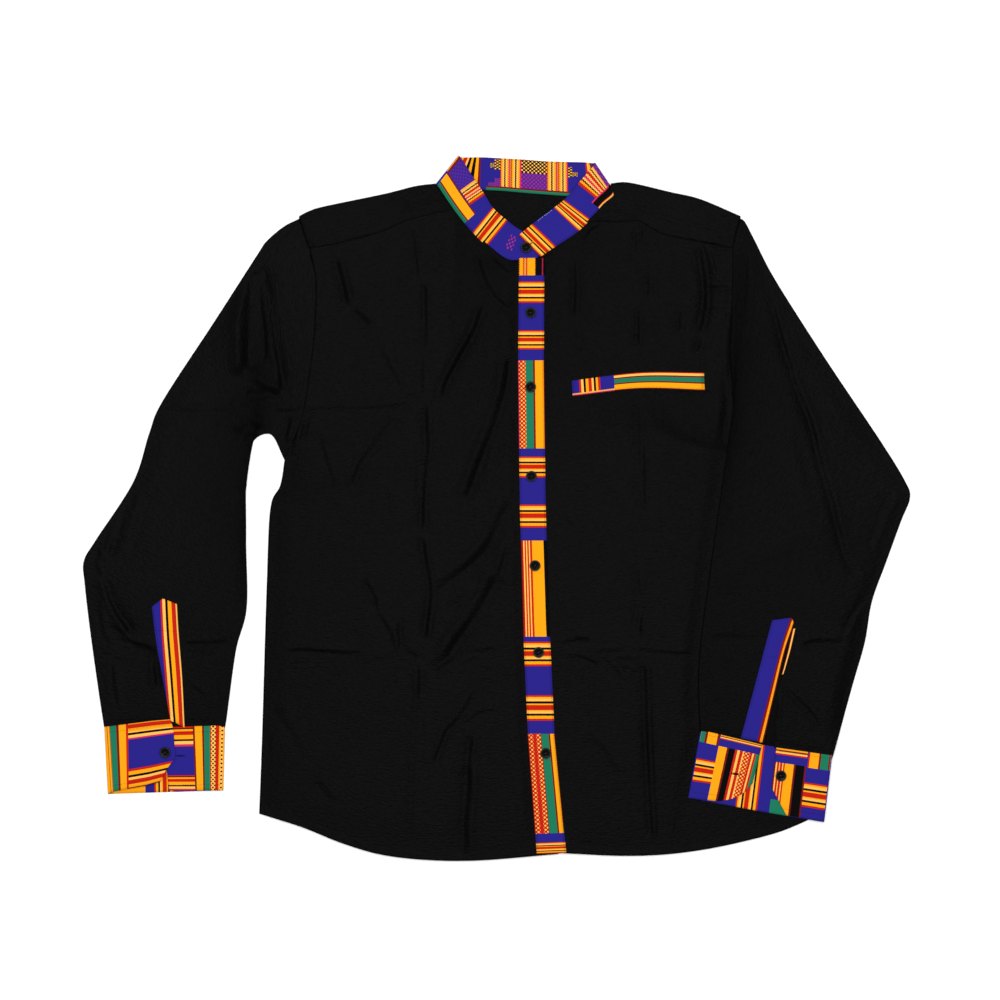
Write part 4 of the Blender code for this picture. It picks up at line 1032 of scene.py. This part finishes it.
# The cuffs: doubled woven bands. The right one is buttoned, its rounded button end on top; the
# left one is open and lies on the body with both ends turned over.
woven_block("plain_green", "1 green")
woven_block("plain_orange", "1 orange")
woven_block("cuff_bars", "0.6 wine, 1.9 orange, 0.6 red, 6.6 green, 2.6 wine, 7.6 orange, 2.4 red")
woven_block("cuff_bars_spotted",
            "2.6 cream/black, 1.4 orange, 3.6 red, 4.8 cream/black, 1 red, 6 green, 2 wine, "
            "7.4 orange, 2 wine", depth=31)
woven_block("corner_bars", "2.6 cream, 4.6 green, 1.6 wine, 7 orange, 1.6 wine")
woven_block("corner_spots",
            "4.5 cream/black, 1.2 wine, 6.5 green, 1.6 wine, 7.6 orange, 1.2 red", depth=25)
woven_block("top_wefts",
            "0.9 orange, 4.6 red, 3.6 orange, 1.2 cream, 2.6 black, 3.2 cream, 1.8 pink")
woven_block("low_wefts", "2.2 red, 3.6 orange, 2.2 black, 2.4 cream, 4.2 red, 3 orange, 1 wine")
woven_block("side_wefts",
            "1.2 red, 1 black, 1.6 orange, 3 red, 3.4 orange, 1.5 black, 2.6 cream, 1.8 pink")
woven_block("edge_lines", "1 orange, 1 wine, 1.3 cream, 1 red")
woven_block("warp_red",
            "3.9 green, 2 red, 1.6 cream, 2 red, 6.2 red/cream, 1.2 cream, 3 red, 2.3 cream, "
            "2.4 red, 6.1 black, 2 wine, 8.4 orange", depth=46)
woven_block("warp_black",
            "1.6 wine, 9 black, 2 wine, 9 orange, 1.5 red, 1.2 cream, 2.2 red, 1 cream, 2 red, "
            "1.4 cream, 1.4 wine")


def shaped(surface, drawn, last, pulls, near_end):
    """Cuts the corners of a strip's end: pulls are (across, mm) pairs. The stripes stay put."""
    def pulled(u, v):
        inner = surface(u, np.array([near_end, last], float))
        step = inner[0] - inner[1]
        pull = np.interp(u, *np.array(pulls, float).T) / np.linalg.norm(step, axis=1)
        return np.clip((v - near_end) / (last - near_end), 0, 1)[:, None] * pull, step

    def cut(u, v):
        part, step = pulled(u, v)
        return surface(u, v) + part[..., None] * step

    def chart_place(u, v):
        seen_u, seen_v = drawn(u, v)
        return seen_u, seen_v + pulled(u, v)[0] * (near_end - last)

    return cut, chart_place


UPPER, TURN, LOWER, LAPPED = 3.0, 1.9, 0.55, 5.2      # heights of its layers
cuff_right_lines = [
    (-376, -245, UPPER, -368, -316, UPPER), (-307, -243, UPPER, -309, -316, UPPER),
    (-305.8, -243, TURN, -307.8, -316, TURN), (-307, -243, LOWER, -309, -316, LOWER),
    (-439, -244.5, LOWER, -435, -320, LOWER), (-440.2, -244.5, TURN, -436.2, -320, TURN),
    (-439, -244.5, UPPER, -434, -318, UPPER), (-384, -237.5, LAPPED, -388, -309, LAPPED),
    (-361, -235.5, LAPPED, -361, -302, LAPPED),
]
cuff_right_chart = [
    (0, 8, 0, 1, "plain_blue", False),
    (1, 2, 0, 1, "plain_orange", False),
    (3.42, 3.6, 0, 1, "weft_stripes", False),
    (3.68, 4, 0, 1, "plain_orange", False),
    (1.0, 0.5, 0, 1, "cuff_bars_spotted", False),
    (0, 0.5, 0, 0.31, "side_wefts", True),
    (0, 0.5, 0.76, 1, "side_wefts", True),
    (5.0, 6.02, 0, 1, "plain_orange", False),
    (6.02, 6.46, 0, 1, "cuff_bars", False),
    (6.46, 8, 0, 0.245, "top_wefts", True),
    (6.46, 8, 0.7, 1, "low_wefts", True),
]
cuff_right_surface = loft(cuff_right_lines, False)
surface, drawn = shaped(cuff_right_surface, np.meshgrid, 8.0,
                        [(0, 5), (0.2, 1.5), (0.4, 1), (0.65, -0.5), (0.85, 11.5), (1, 17)], 6.5)
cuff_right = strip("cuff_right", surface, 0.06, (0.0, 8.0, 0.05), cuff_right_chart, drawn=drawn)

UPPER, TURN, LOWER = 7.0, 5.9, 4.75
cuff_left_lines = [
    (297, -264.5, UPPER, 279, -331, UPPER), (229, -248, UPPER, 215, -324, UPPER),
    (227.8, -248, TURN, 213.8, -324, TURN), (229, -248, LOWER, 215, -324, LOWER),
    (297, -264.5, LOWER, 288, -338, LOWER), (373, -276, LOWER, 364, -351, LOWER),
    (374.2, -276, TURN, 365.2, -351, TURN), (373, -276, UPPER, 364, -350, UPPER),
    (312, -267.5, UPPER, 303.5, -340, UPPER),
]
cuff_left_chart = [
    (0, 8, 0, 1, "plain_blue", False),
    (3.7, 4.03, 0, 1, "weft_stripes", False),
    (4.21, 4.5, 0.79, 1, "plain_green", False),
    (0, 0.69, 0.17, 1, "warp_red", False),
    (0, 0.69, 0, 0.06, "edge_lines", True),
    (0.69, 1.1, 0.41, 0.75, "weft_stripes", True),
    (1.1, 0.7, 0, 0.17, "corner_bars", False),
    (7.42, 8, 0.22, 1, "warp_black", False),
    (7.42, 8, 0, 0.1, "edge_lines", True),
    (6.9, 7.42, 0.46, 0.83, "weft_stripes", True),
    (6.9, 7.4, 0, 0.235, "corner_spots", False),
]
cuff_left_surface = loft(cuff_left_lines, False)
surface, drawn = shaped(cuff_left_surface, np.meshgrid, 0.0,
                        [(0, 1), (0.65, 0), (0.8, 5.4), (0.92, 14.4), (0.97, 24), (1, 33)], 0.69)
surface, drawn = shaped(surface, drawn, 8.0, [(0, 0), (0.62, 0), (1, 20)], 7.42)
cuff_left = strip("cuff_left", surface, 0.04, (0.0, 8.0, 0.05), cuff_left_chart, drawn=drawn)


# The strips laid on the panels: the welt of the chest pocket, the pointed plackets of the sleeve
# slits and the narrow binding of the left slit. All are woven cloth with turned edges.
def solid_of(piece):
    """The piece's finished mesh, for what is laid on it."""
    bpy.context.view_layer.update()
    evaluated = piece.evaluated_get(bpy.context.evaluated_depsgraph_get())
    mesh = evaluated.to_mesh()
    tree = BVHTree.FromPolygons([v.co.copy() for v in mesh.vertices],
                                [tuple(p.vertices) for p in mesh.polygons])
    evaluated.to_mesh_clear()
    return tree


def top_of(trees, x, y, reach=0.0):
    """Highest cloth at a point, or within reach of it on four sides, in millimetres."""
    high = 0.0
    around = ((0, 0), (reach, 0), (-reach, 0), (0, reach), (0, -reach)) if reach else ((0, 0),)
    for dx, dy in around:
        above = Vector(((x + dx) * MM, (y + dy) * MM, 0.1))
        for tree in trees:
            hit = tree.ray_cast(above, Vector((0, 0, -1)))[0]
            if hit is not None:
                high = max(high, hit.z / MM)
    return high


CLEAR = 0.15          # from a strip down to the cloth that it is sewn to


def laid(below, bottom, top, left, right, reach=2.5):
    """Surface of a strip on what is below it: v runs from 0 at the bottom to 1."""
    trees = [solid_of(piece) for piece in below]

    def surface(u, v):
        plan = patch(bottom, top, left, right, u, v)
        z = np.array([[top_of(trees, x, y, reach) + CLEAR + STRIP_WALL / 2 for x, y in row]
                      for row in plan])
        return np.dstack([plan, z])

    return surface


woven_block("welt_weft",
            "2.2 red, 2.6 cream, 2.4 black, 3.2 orange, 3.6 red, 2.2 cream, 2.4 black, "
            "2.4 orange, 2.6 red")
woven_block("welt_edge", "1.2 pink, 1.3 cream")
woven_block("welt_warp", "1 wine, 5.6 orange, 1.5 wine, 4.6 green, 1.6 wine, 2.4 cream, 1 red")
surface = laid([front_left], spline([(84, 126), (158, 134), (232, 132)]),
               spline([(83, 143), (158, 152), (231, 152)]), spline([(84, 126), (83, 143)]),
               spline([(232, 132), (231, 152)]))
pocket_welt = strip("pocket_welt", surface, 0.06, (0.0, 1.0, 0.12), [
    (0, 1, 0, 1, "welt_warp", False), (0, 1, 0, 0.32, "plain_blue", False),
    (0, 1, 0.055, 0.215, "welt_weft", True), (0, 0.14, 0, 0.32, "welt_edge", False)])

woven_block("placket_stripes",
            "10.5 blue, 2.2 red, 3.2 cream, 2.6 black, 4 orange, 4.3 red, 1.6 cream")
woven_block("placket_blue", "18.6 blue, 2.2 wine, 0.9 red, 2.7 orange, 1.3 wine")
woven_block("binding", "2.6 black, 1.1 wine, 1.9 cream, 0.8 wine")
woven_block("plain_black", "1 black")
PLACKET_WIDE, PLACKET_NARROW = 28.0, 16.0      # width at its point and at the cuff
BINDING_WALL = 0.8


def from_the_right(u, v):
    """The stripes keep their width from the right edge, so the blue runs out lower down."""
    seen_u, seen_v = np.meshgrid(u, v)
    width = PLACKET_NARROW + (PLACKET_WIDE - PLACKET_NARROW) * seen_v
    return 1 - (1 - seen_u) * width / PLACKET_WIDE, seen_v


surface = laid([sleeve_right, cuff_right], chain([(-366.5, -237), (-350.5, -245.5)]),
               chain([(-387, -110), (-374.8, -100.5), (-359, -107)]),
               spline([(-366.5, -237), (-373, -200), (-382, -150), (-387, -110)]),
               spline([(-350.5, -245.5), (-353, -190), (-357, -140), (-359, -107)]))
sleeve_placket_right = strip("sleeve_placket_right", surface, 0.12, (0.0, 1.0, 0.03),
                             [(0, 1, 0, 1, "placket_stripes", True)], drawn=from_the_right)
surface = laid([sleeve_left], chain([(299, -262), (310.5, -263.5)]),
               chain([(327.5, -135), (333.5, -134)]),
               chain([(299, -262), (312, -203), (320, -170), (327.5, -135)]),
               chain([(310.5, -263.5), (312.6, -205), (321.6, -180), (328, -158), (333.5, -134)]),
               0.6)
slit_binding_left = strip("slit_binding_left", surface, 0.25, (0.0, 1.0, 0.03), [
    (0, 1, 0, 1, "binding", True), (0, 0.6, 0, 1, "plain_black", True)], BINDING_WALL)
surface = laid([sleeve_left, cuff_left, slit_binding_left], chain([(272, -257), (297, -262)]),
               chain([(307, -125), (328.6, -122), (331.5, -128)]),
               chain([(272, -257), (307, -125)]),
               spline([(297, -262), (310, -206), (321, -160), (331.5, -128)]))
sleeve_placket_left = strip("sleeve_placket_left", surface, 0.12, (0.0, 1.0, 0.03),
                            [(0, 1, 0, 1, "placket_blue", True)])


# The stitching: machine lockstitch in black polyester thread, each stitch a short smooth bead
# pulled into the cloth. It joins the seams and runs along every turned edge.
def thread_of(name, hexed):
    """Spun thread: twisted and slightly glossy. Its colour is a little darker where the twist's
    bump is low: painted shade in the twist's grooves.
    """
    made, tree, shader = new_finish(name, Specular_IOR_Level=0.06)
    twist = node(tree, "TexNoise", {"Vector": node(tree, "TexCoord", {})["Object"],
                                    "Scale": 1400.0, "Detail": 2.0})["Fac"]
    # Painted shade: the same noise that raises the bump dims the colour to 0.7 where it is low.
    bright = node(tree, "MapRange", {"Value": twist, "To Min": 0.7, "To Max": 1.1})["Result"]
    colour = node(tree, "Mix", {0: 1.0, 6: linear(hexed), 7: bright}, data_type="RGBA",
                  blend_type="MULTIPLY")[2]
    tree.links.new(colour, shader["Base Color"])
    tree.links.new(node(tree, "MapRange", {"Value": twist, "To Min": 0.4, "To Max": 0.6})[0],
                   shader["Roughness"])
    tree.links.new(node(tree, "Bump", {"Height": twist, "Distance": 0.05 * MM})["Normal"],
                   shader["Normal"])
    return made


black_thread = thread_of("black_thread", "030303")
white_thread = thread_of("white_thread", "D8D4C8")
STITCH, THREAD = 2.8, 0.2      # stitch length and thread radius
SHARE = 0.42          # half of a stitch that shows, as a share of its length


def sewn(name, on, rows, finish=black_thread, sink=0.05):
    """Rows of stitches on the cloth, as one piece. Each row is a curve of 0 to 1."""
    trees = [solid_of(piece) for piece in on]
    bm = bmesh.new()
    for row in rows:
        path = row(even(200))
        length = np.linalg.norm(np.diff(path, axis=0), axis=1).sum()
        count = max(1, int(length / STITCH))
        for middle in (np.arange(count) + 0.5) / count:
            ends = []
            for x, y in row(np.array([middle - SHARE / count, middle + SHARE / count])):
                ends.append(Vector((x, y, top_of(trees, x, y) - sink)) * MM)
            run = ends[1] - ends[0]
            turn = run.to_track_quat("Z", "X").to_matrix().to_4x4()
            size = Matrix.Diagonal((THREAD * MM, THREAD * MM, run.length * 0.5, 1))
            bmesh.ops.create_uvsphere(bm, u_segments=5, v_segments=4, radius=1, matrix=(
                Matrix.Translation((ends[0] + ends[1]) / 2) @ turn @ size))
    fitted(added(name, bm, finish))


def seam(points, low, high, dx, dy):
    """A row beside a panel's edge, over a share of its length."""
    return moved(part_of(spline(points), low, high), dx, dy)


def lines_of(surface, *rows):
    """Rows along a strip, each at one place across it, from one place along it to another."""
    def line(u, low, high):
        return lambda s: surface(np.array([u]), low + (high - low) * np.asarray(s))[:, 0, :2]

    return [line(*row) for row in rows]


def collar_end(s):
    """The row across the collar's upper end."""
    return collar_surface(0.05 + 0.9 * np.asarray(s), np.array([21.92]))[0, :, :2]


YOKE_ROW, WIDE_ROW = 1.6, 6.8      # from an edge to its stitches: the yoke's, and the others
sewn("yoke_stitches", [yoke], [
    seam(YOKE_SEAM_RIGHT, 0.02, 0.98, 0, YOKE_ROW),
    seam(YOKE_SEAM_LEFT, 0.02, 0.98, 0, YOKE_ROW)])
sewn("front_right_stitches", [front_right], [
    seam(ARM_RIGHT, 0.08, 0.98, WIDE_ROW, 0),
    seam(HEM_RIGHT, 0.02, 0.9, 0, WIDE_ROW)])
sewn("front_left_stitches", [front_left], [
    seam(ARM_LEFT_UPPER, 0.1, 0.98, -WIDE_ROW, 0),
    seam(HEM_LEFT, 0.02, 0.98, 0, WIDE_ROW)])
sewn("placket_stitches", [front_placket], lines_of(
    placket_surface, (0.06, 20, PLACKET_LENGTH - 2), (0.94, 20, PLACKET_LENGTH - 2)))
sewn("collar_stitches", [collar], lines_of(
    collar_surface, (0.05, 18.0, 21.9), (0.95, 18.0, 19.9), (0.95, 20.9, 21.9),
    (0.05, 1.6, 5.8), (0.95, 1.6, 5.8), (0.96, 9.1, 14.5)) + [collar_end])
sewn("collar_tacks", [collar], lines_of(collar_surface, (0.975, 20.15, 20.8)),
     finish=white_thread, sink=0.0)
sewn("cuff_right_stitches", [cuff_right], lines_of(
    cuff_right_surface, (0.09, 6.05, 7.8), (0.91, 6.05, 7.4), (0.09, 0.25, 0.97),
    (0.91, 0.25, 0.97)))
sewn("cuff_left_stitches", [cuff_left], lines_of(
    cuff_left_surface, (0.05, 0.05, 0.97), (0.91, 0.4, 0.97), (0.05, 7.03, 7.95),
    (0.91, 7.03, 7.75)))
sewn("welt_stitches", [pocket_welt, front_left], [
    spline([(86, 128), (158, 136), (230, 134)]), chain([(85, 128), (84.5, 141)]),
    chain([(229, 134), (228.5, 149)])])
sewn("sleeve_stitches_right", [sleeve_placket_right], [
    spline([(-365, -233), (-371, -200), (-380, -150), (-385, -112)]),
    spline([(-353, -239), (-355, -190), (-359, -140), (-361, -108)]),
    chain([(-383.5, -136.7), (-359.8, -137.4)])])
sewn("sleeve_stitches_left", [sleeve_placket_left], [
    chain([(274, -256), (309, -126)]),
    spline([(294.5, -261), (307.5, -206), (318.5, -160), (328.5, -130)]),
    chain([(301.5, -165.5), (315, -167)])])


# The buttonholes that show: close bars of thread on both sides of a cut, in blue or orange.
blue_thread = thread_of("blue_thread", "1C1860")
orange_thread = thread_of("orange_thread", "E08A18")


BAR_OFF, BAR, BAR_END = 0.75, 0.5, 1.1      # place of a long bar, its half-width and a short one's


def bead(bm, place, half_sizes, sides):
    """One smooth bead of thread, in the units of its place."""
    bmesh.ops.create_uvsphere(bm, u_segments=sides, v_segments=6, radius=1,
                              matrix=place @ Matrix.Diagonal((*half_sizes, 1)))


def second_finish(bm, first_face):
    """Gives the faces from this number on to the piece's second finish."""
    bm.faces.ensure_lookup_table()
    for face in bm.faces[first_face:]:
        face.material_index = 1


def buttonhole(name, on, spot, angle, length, finish):
    """Two bars of thread 1.5 mm apart round the cut, closed by a short bar at each end. The cut is
    a black bead: the black cloth below it and painted shade in the slit.
    """
    trees = [solid_of(on)]
    bm = bmesh.new()
    z = max(top_of(trees, spot[0] + dx, spot[1] + dy) for dx in (-3, 0, 3) for dy in (-1, 0, 1))
    here = (Matrix.Translation(Vector((*spot, z)) * MM) @ Matrix.Scale(MM, 4)
            @ Matrix.Rotation(math.radians(angle), 4, "Z"))
    half = length / 2
    for dx, dy, long, wide in ((0, BAR_OFF, half, BAR), (0, -BAR_OFF, half, BAR),
                               (half, 0, BAR, BAR_END), (-half, 0, BAR, BAR_END)):
        bead(bm, here @ Matrix.Translation((dx, dy, 0)), (long, wide, 0.35), 10)
    bars = len(bm.faces)
    # Painted shade: a black bead stands for the dark of the slit between the bars.
    bead(bm, here, (length / 2.2, 0.35, 0.3), 10)
    second_finish(bm, bars)
    fitted(added(name, bm, finish, black_thread))


buttonhole("buttonhole_cuff_right", cuff_right, (-355, -277), 0, 10, blue_thread)
buttonhole("buttonhole_cuff_left", cuff_left, (266.5, -297), -8, 10, black_thread)
buttonhole("buttonhole_collar", collar, (37, 296), 42, 8, orange_thread)


# The buttons: black polyester, four holes and a rounded rim, 12 mm across, sewn on with black
# thread in two bars. The polish is dulled by handling, so the rim glints softly.
polyester, tree, shader = new_finish("black_polyester", Specular_IOR_Level=0.2)
place = node(tree, "TexCoord", {})["Object"]
swirl = node(tree, "TexNoise", {"Vector": place, "Scale": 260.0, "Detail": 3.0,
                                "Distortion": 1.5})["Fac"]
body = node(tree, "ValToRGB", {"Fac": swirl})
tones = tree.nodes[-1].color_ramp.elements
tones[0].color, tones[1].color = linear("030303"), linear("090809")
tree.links.new(body["Color"], shader["Base Color"])
tree.links.new(node(tree, "MapRange", {"Value": swirl, "To Min": 0.24, "To Max": 0.42})[0],
               shader["Roughness"])
tree.links.new(node(tree, "Bump", {"Height": swirl, "Strength": 0.2, "Distance": 0.1 * MM})[0],
               shader["Normal"])

RIM = [(4.0, 1.55), (4.5, 1.95), (5.0, 2.3), (5.5, 2.35), (5.9, 2.05), (6.1, 1.5), (6.0, 0.8),
       (5.4, 0.3), (4.2, 0.05)]      # radius and height of the rim's section, from the plate out
PLATE = 1.55          # height of the plate inside the rim
HOLE, HOLE_SPREAD, HOLE_FLOOR = 0.8, 1.45, 0.45      # radius, place and height of a hole's floor
SIDES, HOLE_SIDES = 32, 10


def open_edges(bm):
    return [edge for edge in bm.edges if edge.is_boundary]


for node_name, turn in (("button_collar", 20), ("button_front_1", 10), ("button_front_2", 35),
                        ("button_front_3", 5), ("button_front_4", 50), ("button_front_5", 25),
                        ("button_front_6", 15), ("button_cuff_right", 40),
                        ("button_cuff_left", 12)):
    low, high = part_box(node_name)
    bm = bmesh.new()
    section = [bm.verts.new((radius, 0, height)) for radius, height in RIM]
    edges = [bm.edges.new(pair) for pair in zip(section, section[1:])]
    bmesh.ops.spin(bm, geom=section + edges, cent=(0, 0, 0), axis=(0, 0, 1),
                   angle=2 * math.pi, steps=SIDES, use_merge=True)
    foot = [edge for edge in open_edges(bm) if edge.verts[0].co.z < RIM[0][1] / 2]
    bmesh.ops.edgeloop_fill(bm, edges=foot)
    for side_x, side_y in ((1, 1), (-1, 1), (-1, -1), (1, -1)):
        spot = Vector((side_x * HOLE_SPREAD, side_y * HOLE_SPREAD, HOLE_FLOOR))
        place = Matrix.Translation(spot) @ Matrix.Rotation(math.pi / 2, 4, "Z")
        floor = bmesh.ops.create_circle(bm, cap_ends=True, radius=HOLE, segments=HOLE_SIDES,
                                        matrix=place)["verts"]
        around = {edge for vertex in floor for edge in vertex.link_edges}
        wall = bmesh.ops.extrude_edge_only(bm, edges=list(around))["geom"]
        mouth = [item for item in wall if isinstance(item, bmesh.types.BMVert)]
        bmesh.ops.translate(bm, verts=mouth, vec=(0, 0, PLATE - HOLE_FLOOR))
    bmesh.ops.triangle_fill(bm, edges=open_edges(bm), use_beauty=True)
    bmesh.ops.recalc_face_normals(bm, faces=bm.faces)
    plastic = len(bm.faces)
    for side in (-1, 1):
        for lift in (-0.2, 0.2):
            bead(bm, Matrix.Translation((0, side * HOLE_SPREAD + lift, PLATE + 0.1)),
                 (HOLE_SPREAD + 0.5, 0.26, 0.3), 8)
    second_finish(bm, plastic)
    middle = (Vector(low) + Vector(high)) / 2
    middle.z = Vector(low).z
    bm.transform(Matrix.Translation(middle) @ Matrix.Rotation(math.radians(turn), 4, "Z")
                 @ Matrix.Scale(MM, 4))
    fitted(added(node_name + "_turned", bm, polyester, black_thread), node_name)
